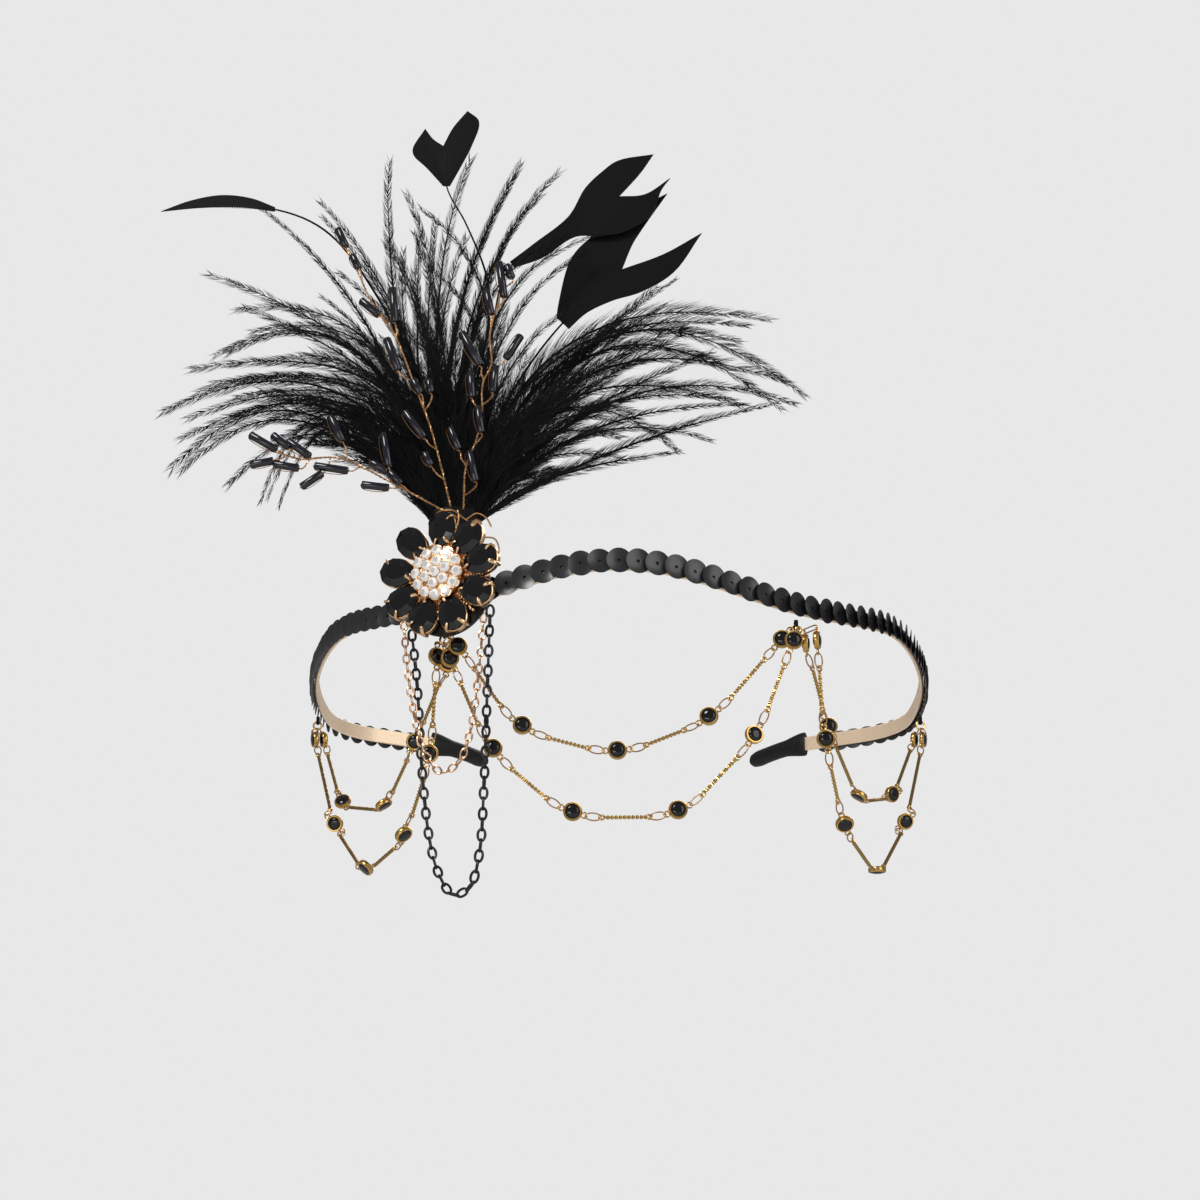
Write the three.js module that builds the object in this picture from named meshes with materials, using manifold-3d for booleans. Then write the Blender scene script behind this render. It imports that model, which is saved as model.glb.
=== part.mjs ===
// Flapper feather headband: a C-shaped metal strip with sequins on its outside, a black plume
// behind a jewelled flower, sprays of bugle beads, swags of stone-set chain and two chain loops.
// Millimetres. The front faces -Y, +X is on the right as seen from the front, +Z is up.
// The origin is the middle of the ring that goes round the head, at the height of the strip's sides.

import * as THREE from 'three';
import { mergeVertices } from 'three/addons/utils/BufferGeometryUtils.js';
import Module from 'manifold-3d';

const wasm = await Module();
wasm.setup();

const rad = THREE.MathUtils.degToRad;
const lerp = THREE.MathUtils.lerp;
const UP = new THREE.Vector3(0, 0, 1);

// Gap that touching pieces keep
const CLEARANCE = 0.3;

// Metal strip
const HEAD_HALF_WIDTH = 81.8;
const FRONT_REACH = 88;
const STRIP_HEIGHT = 4;
const STRIP_THICKNESS = 0.8;
const CREST_RISE = 2;
const DIP_DROP = 4.5;
const DIP_AT = 46;
const LEVEL_AT = 92;

// Sequins
const SEQUIN_DIAMETER = 6;
const SEQUIN_PITCH = 4.36;
const SEQUIN_PILE = 1.2;
const SEQUIN_SLIP = 0.7;

// Rubber tips
const TIP_LENGTH = 21;
const TIP_MOUTH = 7;
const TIP_THICKNESS = 3.4;
const TIP_GRIP = 5;
const TIP_FLARE = 20;
const TIP_DROOP = 1.5;

// Backing disc and flower
const DISC_RADIUS = 11.2;
const DISC_THICKNESS = 1.2;
const DISC_SIDES = 24;
const DISC_PLACE = { x: -40.1, y: 6.8, z: -2.4, yaw: -21, pitch: 4 };
const FLOWER_RAISE = 3.2;
const FLOWER_SHIFT = -0.6;
const PETAL_RING = 10.7;
const PETAL_LENGTH = 7.2;
const PETAL_WIDTH = 5.4;
const PETAL_HEIGHT = 2.2;
const PETAL_SIDES = 10;
const PETAL_SWELL = 0.12;
const SETTING_THICKNESS = 0.8;
const SETTING_RIM = 0.6;
const CLAW_WIDTH = 0.7;
const HUB_RADIUS = 8;
const CLUSTER_RADIUS = 5.7;
const CLUSTER_HEIGHT = 2.3;
const CRYSTAL_RADIUS = 1.15;
const CRYSTAL_HEIGHT = 1.2;
const CRYSTAL_SIDES = 8;

// Plume
const PLUME_ROOT = new THREE.Vector3(-38.7, 9.8, 14.2);
const PLUME_REACH = 100;
const LOCK_WIDTH = 6;
const LOCK_THICKNESS = 1.2;
const HEAD_HALF_LENGTH = 6.4;
const HEAD_DEPTH = 4.6;
const HEAD_SIDES = 10;
const ROOT_SPREAD = 0.7;
const QUILL_RADIUS = 0.45;
const BLADE_THICKNESS = 0.6;

// Bead sprays
const STEM_RADIUS = 0.5;
const TWIG_RADIUS = 0.4;
const TWIG_LEAD = 0.05;
const BUGLE_RADIUS = 1;
const BUGLE_SIDES = 6;
const SPRAY_ROOT_Y = 6.6;
const SPRAY_FRONT_Y = 4;

// Jump rings, thread and chains
const JUMP_RING_RADIUS = 1.1;
const JUMP_RING_WIRE = 0.3;
const JUMP_RING_SIDES = 8;
const WIRE_SIDES = 4;
const THREAD_RADIUS = 0.3;
const THREAD_HALF_WIDTH = 1;
const THREAD_SLACK = 0.45;
const BEZEL_RADIUS = 2.2;
const BEZEL_DEPTH = 1.9;
const STRAND_RADIUS = 0.9;
const STRAND_LEAD = 2;
const BLACK_CHAIN_RADIUS = 1;
const ROSE_CHAIN_RADIUS = 0.8;
const CHAIN_STEP = 5.6;

// Half of the strip's plan from the front centre to the tip's mouth: run is the stretch's length
// as a share of the head's half width, turn is how far it bends in degrees
const STRIP_PLAN = [
  { name: 'forehead', run: 0.96, turn: 60, steps: 12 },
  { name: 'temple', run: 0.282, turn: 13, steps: 3 },
  { name: 'side', run: 0.778, turn: 20.5, steps: 5 },
  { name: 'back corner', run: 0.287, turn: 55.5, steps: 6 },
  { name: 'end', run: 0.219, turn: 0, steps: 2 },
];

// Rubber tip: tall and thick are shares of the mouth's height
const TIP_SECTIONS = [
  { at: 0, tall: 1, thick: 0.48 },
  { at: 0.16, tall: 0.95, thick: 0.48 },
  { at: 0.4, tall: 0.7, thick: 0.52 },
  { at: 0.72, tall: 0.66, thick: 0.64 },
  { at: 0.92, tall: 0.68, thick: 0.68 },
  { at: 1, tall: 0.4, thick: 0.4 },
];

// Petal stones, clockwise from the top one
const PETALS = [
  { angle: 5, reach: 1.0, tilt: 0 },
  { angle: 44, reach: 1.0, tilt: 3 },
  { angle: 79, reach: 1.03, tilt: 3 },
  { angle: 118, reach: 1.0, tilt: 2 },
  { angle: 161, reach: 0.98, tilt: 2 },
  { angle: 201, reach: 0.98, tilt: 2 },
  { angle: 239, reach: 1.02, tilt: 2 },
  { angle: 278, reach: 1.0, tilt: 3 },
  { angle: 320, reach: 0.98, tilt: 3 },
];

// Rings of clear stones in the flower's middle: ring is a share of the cluster's radius
// and rise how far its stones stand above the outer ones, as a share of a stone's height
const CRYSTAL_RINGS = [
  { count: 1, ring: 0, rise: 0.7 },
  { count: 6, ring: 0.45, rise: 0.5 },
  { count: 12, ring: 0.88, rise: 0 },
];

// The plume's locks. reach is the straight length to the tip and lean is how far the tip stands
// behind the root, both as shares of PLUME_REACH. aim is in degrees from straight up, clockwise
// as seen from the front. The lock arches away from its straight line by bow, at the share peak.
const LOCKS = [
  { reach: 0.99, aim: -30, peak: 0.63, bow: 0.15, lean: 0.03, width: 0.6 },
  { reach: 0.97, aim: -22, peak: 0.57, bow: 0.14, lean: 0.07, width: 0.8 },
  { reach: 0.74, aim: -24, peak: 0.64, bow: 0.19, lean: 0.01, width: 0.7 },
  { reach: 0.93, aim: -42, peak: 0.4, bow: 0.3, lean: 0.05, width: 1 },
  { reach: 0.765, aim: -52, peak: 0.77, bow: 0.55, lean: 0.04, width: 0.8 },
  { reach: 0.77, aim: -57, peak: 0.45, bow: 0.54, lean: 0, width: 1 },
  { reach: 0.78, aim: -66, peak: 0.53, bow: 0.54, lean: 0.02, width: 1 },
  { reach: 0.7, aim: -77, peak: 0.69, bow: 0.59, lean: 0, width: 1 },
  { reach: 0.57, aim: -60, peak: 0.68, bow: 0.44, lean: 0.05, width: 0.8 },
  { reach: 0.49, aim: -79, peak: 0.88, bow: 0.99, lean: 0.07, width: 0.4 },
  { reach: 1.02, aim: -11, peak: 0.63, bow: -0.09, lean: 0.04, width: 0.8 },
  { reach: 0.94, aim: -9, peak: 0.62, bow: 0.08, lean: 0.08, width: 0.6 },
  { reach: 1.01, aim: 1, peak: 0.57, bow: -0.13, lean: 0.05, width: 0.9 },
  { reach: 0.85, aim: -5, peak: 0.35, bow: -0.1, lean: 0.07, width: 1 },
  { reach: 1.01, aim: 8, peak: 0.44, bow: -0.17, lean: 0.04, width: 0.7 },
  { reach: 0.98, aim: 14, peak: 0.64, bow: -0.2, lean: 0.01, width: 0.8 },
  { reach: 0.7, aim: -10, peak: 0.64, bow: 0.01, lean: 0.03, width: 1 },
  { reach: 0.87, aim: 23, peak: 0.68, bow: -0.33, lean: 0.04, width: 0.7 },
  { reach: 0.94, aim: 54, peak: 0.53, bow: -0.52, lean: -0.04, width: 1.2 },
  { reach: 0.93, aim: 66, peak: 0.65, bow: -0.69, lean: 0.06, width: 1.2 },
  { reach: 0.89, aim: 66, peak: 0.52, bow: -0.56, lean: -0.08, width: 1.1 },
  { reach: 0.75, aim: 46, peak: 0.34, bow: -0.15, lean: 0.05, width: 0.6 },
  { reach: 0.88, aim: 68, peak: 0.58, bow: -0.4, lean: -0.05, width: 1 },
  { reach: 0.86, aim: 66, peak: 0.42, bow: -0.13, lean: -0.08, width: 0.9 },
];

// Lock width and thickness along its length, as shares of the lock's own
const LOCK_SECTIONS = [
  { at: 0, wide: 0.3, thick: 0.8 },
  { at: 0.3, wide: 0.9, thick: 1 },
  { at: 0.58, wide: 1, thick: 0.9 },
  { at: 0.82, wide: 0.7, thick: 0.7 },
  { at: 1, wide: 0.12, thick: 0.4 },
];

// The bound head of the plume, from its lowest end: wide and deep are shares of its full size
const HEAD_SECTIONS = [
  { drop: -12, wide: 0.3, deep: 0.7 },
  { drop: -7, wide: 0.62, deep: 0.95 },
  { drop: -3, wide: 0.85, deep: 1 },
  { drop: 1, wide: 1, deep: 1 },
  { drop: 5, wide: 0.9, deep: 0.8 },
];

// Cut feathers: a bare quill, then a trimmed blade. The quill's points are measured from the
// plume's root. The blade's outline goes round from its base, along and across its own line, as
// shares of its length.
const CUT_FEATHERS = [
  {
    name: 'cut_feather_top',
    length: 21.3,
    aim: 0,
    quill: [[-0.8, 3.2, 0], [1.7, 3.6, 26], [6.6, 4.6, 54], [6.1, 6.5, 68], [0.5, 8, 84], [-4.7, 8.5, 95]],
    blade: [[0, 0.04], [0.31, 0.19], [0.54, 0.29], [0.86, 0.37], [1, 0.23], [0.77, 0.06], [0.53, -0.05],
      [0.62, -0.17], [0.76, -0.27], [0.5, -0.41], [0.41, -0.4], [0.24, -0.24], [0, -0.04]],
  },
  {
    name: 'cut_feather_upper',
    length: 46.8,
    aim: 54.6,
    quill: [[1.2, 3.2, 0], [3.5, 5.4, 26], [7.1, 8, 51], [12, 10.6, 74.2]],
    blade: [[0, 0.02], [0.15, 0.06], [0.37, 0.06], [0.49, 0.14], [0.6, 0.19], [0.78, 0.19], [0.91, 0.1],
      [0.99, 0.07], [0.82, 0.07], [0.7, 0], [0.88, -0.05], [1, -0.1], [0.82, -0.18], [0.71, -0.175],
      [0.58, -0.147], [0.41, -0.06], [0.17, -0.034], [0, -0.02]],
  },
  {
    name: 'cut_feather_lower',
    length: 44,
    aim: 45,
    quill: [[3.2, 3.4, 0], [6.2, 6, 21], [13.4, 9, 40.3], [24.7, 12, 58.8]],
    blade: [[0, 0.05], [0.14, 0.05], [0.3, 0.1], [0.45, 0.175], [0.67, 0.22], [0.96, 0.16], [0.71, 0.1],
      [0.475, 0], [0.63, -0.07], [0.74, -0.1], [1, -0.157], [0.73, -0.234], [0.46, -0.27], [0.36, -0.264],
      [0.27, -0.234], [0.05, -0.09], [0, -0.05]],
  },
  {
    name: 'cut_feather_left',
    length: 28.6,
    aim: -87.7,
    quill: [[-2.8, 3.2, 0], [-7, 5, 25], [-13, 6.8, 46], [-21, 8.4, 64], [-34.6, 10, 83], [-47.9, 10.5, 89.5]],
    blade: [[0, 0.02], [0.22, 0.1], [0.48, 0.12], [0.75, 0.055], [1, -0.06], [0.66, -0.01], [0.31, 0.01],
      [0, -0.02]],
  },
];

// Bead sprays: the stem's route, as [out, up] from its root, and its bugle beads. A bead starts
// at the share at of the stem, off to the right of its way by off, and points along aim.
const SPRAYS = [
  {
    name: 'spray_left',
    root: [-41.2, 17.2],
    route: [[0, 0], [-13.3, 6.7], [-24.8, 12.3], [-33.9, 12.1], [-41.1, 14.3]],
    beads: [
      { at: 0.97, off: 0.6, aim: -59, length: 7.4 },
      { at: 0.96, off: -2.2, aim: -102, length: 5.5 },
      { at: 0.91, off: 2.1, aim: -51, length: 5.2 },
      { at: 0.78, off: 0.6, aim: -53, length: 6.6 },
      { at: 0.83, off: -2.4, aim: -80, length: 6 },
      { at: 0.72, off: -3.9, aim: -126, length: 6 },
      { at: 0.55, off: -2.3, aim: -81, length: 8 },
      { at: 0.63, off: 4.4, aim: -26, length: 7.1 },
      { at: 0.31, off: -1.5, aim: -83, length: 6.4 },
      { at: 0.36, off: 1.8, aim: -56, length: 4.5 },
      { at: 0.26, off: 0.6, aim: -43, length: 4.1 },
      { at: 0.37, off: 3.3, aim: -10, length: 8.5 },
    ],
  },
  {
    name: 'spray_middle',
    root: [-39.6, 18.2],
    route: [[0, 0], [-2.8, 11.3], [-5.1, 19.5], [-9.5, 31.3], [-14.6, 44.1], [-19.9, 51.8], [-24, 60.8], [-27.9, 68.4]],
    beads: [
      { at: 0.97, off: 0.3, aim: -24, length: 5.3 },
      { at: 0.88, off: 0.6, aim: -26, length: 4 },
      { at: 0.7, off: -0.5, aim: -48, length: 6 },
      { at: 0.65, off: 1.6, aim: -6, length: 9.1 },
      { at: 0.49, off: -2.4, aim: -20, length: 8.9 },
      { at: 0.39, off: 0.6, aim: -29, length: 4.1 },
      { at: 0.24, off: -2.1, aim: -36, length: 8.3 },
      { at: 0.38, off: 3, aim: -13, length: 3.5 },
      { at: 0.14, off: -2.2, aim: -28, length: 3.7 },
    ],
  },
  {
    name: 'spray_right',
    root: [-36.6, 17.6],
    route: [[0, 0], [0.6, 9.6], [2.8, 16.2], [4.1, 22.9], [4.2, 31.1], [6.1, 35.8], [5.7, 44.2], [7.8, 53.4], [8.8, 62.8]],
    beads: [
      { at: 0.86, off: 1.1, aim: -8, length: 9.4 },
      { at: 0.78, off: -0.8, aim: -11, length: 6.8 },
      { at: 0.94, off: 2.3, aim: -20, length: 3.7 },
      { at: 0.56, off: -2.5, aim: -28, length: 9.8 },
      { at: 0.6, off: 3.4, aim: 30, length: 7 },
      { at: 0.44, off: -2.3, aim: -5, length: 6.5 },
      { at: 0.46, off: 2.6, aim: 5, length: 6.8 },
      { at: 0.3, off: 0.8, aim: -9, length: 6.8 },
      { at: 0.21, off: -3, aim: -22, length: 6 },
      { at: 0.1, off: 2.8, aim: -13, length: 7.8 },
    ],
  },
];

// Jump rings that the strands hang from
const HANGERS = [
  { name: 'left', x: -82.9, y: 110, z: -5.8 },
  { name: 'flower', x: -40.6, y: 11, z: -13.2 },
  { name: 'right_front', x: 41.5, y: 13, z: -10.3 },
  { name: 'right', x: 82.9, y: 110, z: -5.8 },
];

// Strands of stone-set chain. from and to are the end stones' places and headings: across 0 has
// the stone facing the front and 90 facing sideways. Each stone between them lies at a share of
// the way, at its height z. Where set is false, only the chain itself is solid, the stones are
// left out, and it rises STRAND_LEAD past its last stone's place to the jump ring.
const STRANDS = [
  {
    name: 'strand_front_inner',
    from: [-37.4, 9.8, -15.2],
    to: [38.2, 13, -12.4],
    stones: [{ at: 0.2, z: -34.1 }, { at: 0.49, z: -39.8 }, { at: 0.77, z: -31.4 }],
    across: [0, 0],
    set: true,
  },
  {
    name: 'strand_front_outer',
    from: [-39.4, 12, -17.4],
    to: [40.7, 10.4, -13.5],
    stones: [{ at: 0.13, z: -39.2 }, { at: 0.36, z: -54.3 }, { at: 0.66, z: -54 }, { at: 0.88, z: -36.3 }],
    across: [0, 0],
    set: true,
  },
  {
    name: 'strand_right_inner',
    from: [43.8, 14.6, -12.9],
    to: [81.1, 110, -9.8],
    stones: [{ at: 0.17, z: -28.6 }, { at: 0.42, z: -39.6 }, { at: 0.74, z: -31.5 }],
    across: [90, 90],
    set: false,
  },
  {
    name: 'strand_right_outer',
    from: [46.6, 15.6, -11.8],
    to: [83.5, 110, -9.8],
    stones: [{ at: 0.05, z: -34.6 }, { at: 0.19, z: -51.9 }, { at: 0.47, z: -57.3 }, { at: 0.77, z: -38.1 }],
    across: [90, 90],
    set: false,
  },
  {
    name: 'strand_left_inner',
    from: [-40.4, 17.2, -17],
    to: [-81.1, 110, -9.8],
    stones: [{ at: 0.22, z: -30.4 }, { at: 0.45, z: -40.7 }, { at: 0.8, z: -31.9 }],
    across: [0, 90],
    set: false,
  },
  {
    name: 'strand_left_outer',
    from: [-42.6, 14.4, -16.2],
    to: [-83.5, 110, -9.8],
    stones: [{ at: 0.04, z: -38.8 }, { at: 0.21, z: -54.2 }, { at: 0.5, z: -56.2 }, { at: 0.78, z: -38.5 }],
    across: [0, 90],
    set: false,
  },
];

// Routes of the two plain chain loops under the flower, as [x, y, z]
const BLACK_CHAIN_ROUTE = [[-48.4, 11, -11], [-46.8, 11.2, -24], [-45.1, 11.2, -45], [-43, 10.8, -61],
  [-40.7, 9.8, -69], [-37.2, 8, -74.2], [-33.4, 6, -73], [-31.3, 4.4, -66], [-30.4, 3.2, -50],
  [-30, 2.6, -28], [-29.7, 2.4, -10]];
const ROSE_CHAIN_ROUTE = [[-50.1, 8.8, -9.6], [-48.9, 8.7, -21], [-47, 8.6, -32], [-44.4, 8.5, -41.3],
  [-40.3, 8, -45.9], [-36.4, 7, -43.6], [-33.9, 6, -36.8], [-32.4, 5.4, -25], [-31.4, 5, -11]];

// Shape helpers

function vec(x, y, z) {
  return new THREE.Vector3(x, y, z);
}

function volumeOf(geometry) {
  const place = geometry.getAttribute('position');
  const index = geometry.getIndex();
  const corner = [vec(), vec(), vec()];
  let sum = 0;
  for (let i = 0; i < index.count; i += 3) {
    corner.forEach((point, k) => point.fromBufferAttribute(place, index.getX(i + k)));
    sum += corner[0].dot(corner[1].clone().cross(corner[2]));
  }
  return sum / 6;
}

// A closed body through rings of equal size. Its ends are capped, or joined if it is a hoop.
function skin(rings, hoop = false) {
  const sides = rings[0].length;
  const points = rings.flat().flatMap((point) => [point.x, point.y, point.z]);
  const faces = [];
  const last = hoop ? rings.length : rings.length - 1;
  for (let i = 0; i < last; i += 1) {
    const near = i * sides;
    const far = ((i + 1) % rings.length) * sides;
    for (let k = 0; k < sides; k += 1) {
      const next = (k + 1) % sides;
      faces.push(near + k, near + next, far + next, near + k, far + next, far + k);
    }
  }
  if (!hoop) {
    const end = (rings.length - 1) * sides;
    for (let k = 1; k < sides - 1; k += 1) {
      faces.push(0, k + 1, k, end, end + k, end + k + 1);
    }
  }
  const geometry = new THREE.BufferGeometry();
  geometry.setAttribute('position', new THREE.Float32BufferAttribute(points, 3));
  geometry.setIndex(faces);
  if (volumeOf(geometry) < 0) {
    geometry.setIndex(faces.reverse());
  }
  return geometry;
}

function solidOf(geometry) {
  const bare = geometry.clone();
  bare.deleteAttribute('normal');
  bare.deleteAttribute('uv');
  const merged = mergeVertices(bare, 1e-4);
  return new wasm.Manifold(new wasm.Mesh({
    numProp: 3,
    vertProperties: new Float32Array(merged.getAttribute('position').array),
    triVerts: new Uint32Array(merged.getIndex().array),
  }));
}

function geometryOf(solid) {
  const mesh = solid.getMesh();
  const geometry = new THREE.BufferGeometry();
  geometry.setAttribute('position', new THREE.Float32BufferAttribute(mesh.vertProperties, 3));
  geometry.setIndex(new THREE.Uint32BufferAttribute(mesh.triVerts, 1));
  return geometry;
}

function fuse(geometries) {
  return geometryOf(geometries.map(solidOf).reduce((whole, piece) => whole.add(piece)));
}

function cut(geometry, tool) {
  return geometryOf(solidOf(geometry).subtract(solidOf(tool)));
}

function roundShape(radius, sides) {
  const corners = [];
  for (let k = 0; k < sides; k += 1) {
    const angle = 2 * Math.PI * k / sides;
    corners.push(new THREE.Vector2(radius * Math.cos(angle), radius * Math.sin(angle)));
  }
  return new THREE.Shape(corners);
}

function tube(curve, radius, sides, steps) {
  return new THREE.ExtrudeGeometry(roundShape(radius, sides), { extrudePath: curve, steps });
}

// A hoop of round wire along a closed row of points that lie in the plane square to axis
function wireHoop(points, axis, wire, sides) {
  const rings = points.map((point, i) => {
    const before = points[(i + points.length - 1) % points.length];
    const after = points[(i + 1) % points.length];
    const out = after.clone().sub(before).normalize().cross(axis);
    const ring = [];
    for (let k = 0; k < sides; k += 1) {
      const angle = 2 * Math.PI * k / sides;
      ring.push(point.clone().addScaledVector(out, wire * Math.cos(angle)).addScaledVector(axis, wire * Math.sin(angle)));
    }
    return ring;
  });
  return skin(rings, true);
}

// The strip's course

function stripWave(run) {
  const away = Math.abs(run);
  if (away < DIP_AT) {
    const share = (1 - Math.cos(Math.PI * away / DIP_AT)) / 2;
    return lerp(CREST_RISE, -DIP_DROP, share);
  }
  const share = (1 - Math.cos(Math.PI * Math.min(1, (away - DIP_AT) / (LEVEL_AT - DIP_AT)))) / 2;
  return lerp(-DIP_DROP, 0, share);
}

// The strip's middle at a run from the front centre, to the right if positive
function stationAt(run) {
  const side = Math.sign(run) || 1;
  let x = 0;
  let y = -FRONT_REACH;
  let heading = 0;
  let left = Math.abs(run);
  for (const row of STRIP_PLAN) {
    const length = row.run * HEAD_HALF_WIDTH;
    const step = Math.min(left, length);
    const turn = rad(row.turn) * step / length;
    const chord = turn > 0 ? step * Math.sin(turn / 2) / (turn / 2) : step;
    x += chord * Math.cos(heading + turn / 2);
    y += chord * Math.sin(heading + turn / 2);
    heading += turn;
    left -= step;
  }
  x += left * Math.cos(heading);
  y += left * Math.sin(heading);
  return {
    place: vec(side * x, y, stripWave(run)),
    out: vec(side * Math.sin(heading), -Math.cos(heading), 0),
    way: vec(side * Math.cos(heading), Math.sin(heading), 0),
  };
}

const MOUTH_RUN = STRIP_PLAN.reduce((sum, row) => sum + row.run * HEAD_HALF_WIDTH, 0);

function ribbonRing(run, inner, outer, halfHeight) {
  const { place, out } = stationAt(run);
  return [[inner, -1], [outer, -1], [outer, 1], [inner, 1]].map(([offset, up]) => (
    place.clone().addScaledVector(out, offset).addScaledVector(UP, up * halfHeight)));
}

function makeStrip() {
  const runs = [0];
  let start = 0;
  for (const row of STRIP_PLAN) {
    const length = row.run * HEAD_HALF_WIDTH;
    for (let k = 1; k <= row.steps; k += 1) {
      runs.push(start + length * k / row.steps);
    }
    start += length;
  }
  runs.push(start + TIP_GRIP);
  const both = [...runs.slice(1).reverse().map((run) => -run), ...runs];
  const half = STRIP_THICKNESS / 2;
  return skin(both.map((run) => ribbonRing(run, -half, half, STRIP_HEIGHT / 2)));
}

// Overlapping discs in one scalloped row, each slipped under the next
function makeSequins() {
  const shares = [-0.49, 0, 0.49];
  const inner = STRIP_THICKNESS / 2 + CLEARANCE;
  const outer = inner + SEQUIN_PILE;
  const count = Math.floor((MOUTH_RUN - CLEARANCE) / SEQUIN_PITCH - 0.5);
  const rings = [];
  for (let i = -count; i <= count; i += 1) {
    for (const share of shares) {
      const across = share * SEQUIN_PITCH;
      const halfHeight = Math.sqrt((SEQUIN_DIAMETER / 2) ** 2 - across ** 2);
      rings.push(ribbonRing(i * SEQUIN_PITCH + across, inner, outer - SEQUIN_SLIP * (0.5 + share), halfHeight));
    }
  }
  return skin(rings);
}

function makeTip(side) {
  const mouth = stationAt(side * MOUTH_RUN);
  const bend = mouth.place.clone().addScaledVector(mouth.way, TIP_LENGTH / 3);
  const flared = mouth.way.clone().applyAxisAngle(UP, -side * rad(TIP_FLARE));
  const end = bend.clone().addScaledVector(flared, TIP_LENGTH * 2 / 3);
  end.z -= TIP_DROOP;
  const spine = new THREE.QuadraticBezierCurve3(mouth.place, bend, end);
  const rings = TIP_SECTIONS.map(({ at, tall, thick }) => {
    const centre = spine.getPoint(at);
    const across = spine.getTangent(at).cross(UP).normalize();
    const ring = [];
    for (let k = 0; k < 12; k += 1) {
      const angle = 2 * Math.PI * k / 12;
      ring.push(centre.clone()
        .addScaledVector(across, TIP_MOUTH * thick / 2 * Math.cos(angle))
        .addScaledVector(UP, TIP_MOUTH * tall / 2 * Math.sin(angle)));
    }
    return ring;
  });
  const reach = STRIP_THICKNESS / 2 + CLEARANCE;
  const socket = [-1, TIP_GRIP + CLEARANCE].map((run) => (
    ribbonRing(side * (MOUTH_RUN + run), -reach, reach, STRIP_HEIGHT / 2 + CLEARANCE)));
  return cut(skin(rings), skin(socket));
}

// The flower, in its own frame: X to its right, Y up, Z out of its face, which starts at the
// front of the backing disc

// A petal's edge, which is a little wider towards its outer end
function petalEdge(angle, grow) {
  const wide = (PETAL_WIDTH / 2) * (1 + PETAL_SWELL * Math.cos(angle)) + grow;
  const long = PETAL_LENGTH / 2 + grow;
  return new THREE.Vector2(wide * Math.sin(angle), long * Math.cos(angle));
}

function petalOutline(grow) {
  const outline = [];
  for (let k = 0; k < PETAL_SIDES; k += 1) {
    outline.push(petalEdge(2 * Math.PI * k / PETAL_SIDES, grow));
  }
  return outline;
}

const STONE_SEAT = 2 * CLEARANCE + SETTING_THICKNESS;

function petalMatrix({ angle, reach, tilt }) {
  const turn = rad(-angle);
  const ring = PETAL_RING * reach;
  const lift = (PETAL_LENGTH / 2 + CLEARANCE + SETTING_RIM) * Math.sin(rad(Math.abs(tilt)));
  return new THREE.Matrix4()
    .makeTranslation(-ring * Math.sin(turn), ring * Math.cos(turn), STONE_SEAT + lift)
    .multiply(new THREE.Matrix4().makeRotationZ(turn))
    .multiply(new THREE.Matrix4().makeRotationX(rad(tilt)));
}

function makePetalStone(petal) {
  const levels = [[0, 0], [0, PETAL_HEIGHT * 0.4], [-PETAL_WIDTH * 0.15, PETAL_HEIGHT]];
  const rings = levels.map(([grow, height]) => petalOutline(grow).map((point) => vec(point.x, point.y, height)));
  return skin(rings).applyMatrix4(petalMatrix(petal));
}

function makePetalCup(petal) {
  const seat = petalOutline(CLEARANCE + SETTING_RIM);
  const floor = [-CLEARANCE - SETTING_THICKNESS, -CLEARANCE];
  const parts = [skin(floor.map((height) => seat.map((point) => vec(point.x, point.y, height))))];
  const clawHeight = PETAL_HEIGHT + SETTING_THICKNESS;
  for (const turn of [-40, 40]) {
    const foot = petalEdge(rad(turn), CLEARANCE + CLAW_WIDTH * 0.75);
    const claw = new THREE.BoxGeometry(CLAW_WIDTH, CLAW_WIDTH, clawHeight);
    claw.rotateZ(rad(-turn));
    claw.translate(foot.x, foot.y, clawHeight / 2 - CLEARANCE - SETTING_THICKNESS / 2);
    parts.push(claw);
  }
  return parts.map((part) => part.applyMatrix4(petalMatrix(petal)));
}

function makeFlowerSetting() {
  const hub = new THREE.CylinderGeometry(HUB_RADIUS, HUB_RADIUS, SETTING_THICKNESS, 12);
  hub.rotateX(Math.PI / 2);
  hub.translate(0, 0, CLEARANCE + SETTING_THICKNESS / 2);
  return fuse([hub, ...PETALS.flatMap(makePetalCup)]);
}

function makeCluster() {
  const drum = new THREE.CylinderGeometry(CLUSTER_RADIUS, CLUSTER_RADIUS, CLUSTER_HEIGHT, 16);
  drum.rotateX(Math.PI / 2);
  drum.translate(0, 0, STONE_SEAT + CLUSTER_HEIGHT / 2);
  const parts = [drum];
  for (const { count, ring, rise } of CRYSTAL_RINGS) {
    const girdle = rise > 0 ? [[1, rise]] : [];
    const profile = [[0, -0.3], [1, -0.3], ...girdle, [0.6, 1 + rise], [0, 1 + rise]];
    for (let k = 0; k < count; k += 1) {
      const points = profile.map(([r, h]) => new THREE.Vector2(r * CRYSTAL_RADIUS, h * CRYSTAL_HEIGHT));
      const stone = new THREE.LatheGeometry(points, CRYSTAL_SIDES);
      const angle = 2 * Math.PI * k / count;
      const away = ring * CLUSTER_RADIUS;
      stone.rotateX(Math.PI / 2);
      stone.translate(away * Math.sin(angle), away * Math.cos(angle), STONE_SEAT + CLUSTER_HEIGHT);
      parts.push(stone);
    }
  }
  return fuse(parts);
}

function makeDisc() {
  const disc = new THREE.CylinderGeometry(DISC_RADIUS, DISC_RADIUS, DISC_THICKNESS, DISC_SIDES);
  disc.rotateX(Math.PI / 2);
  return disc;
}

// The plume

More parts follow.
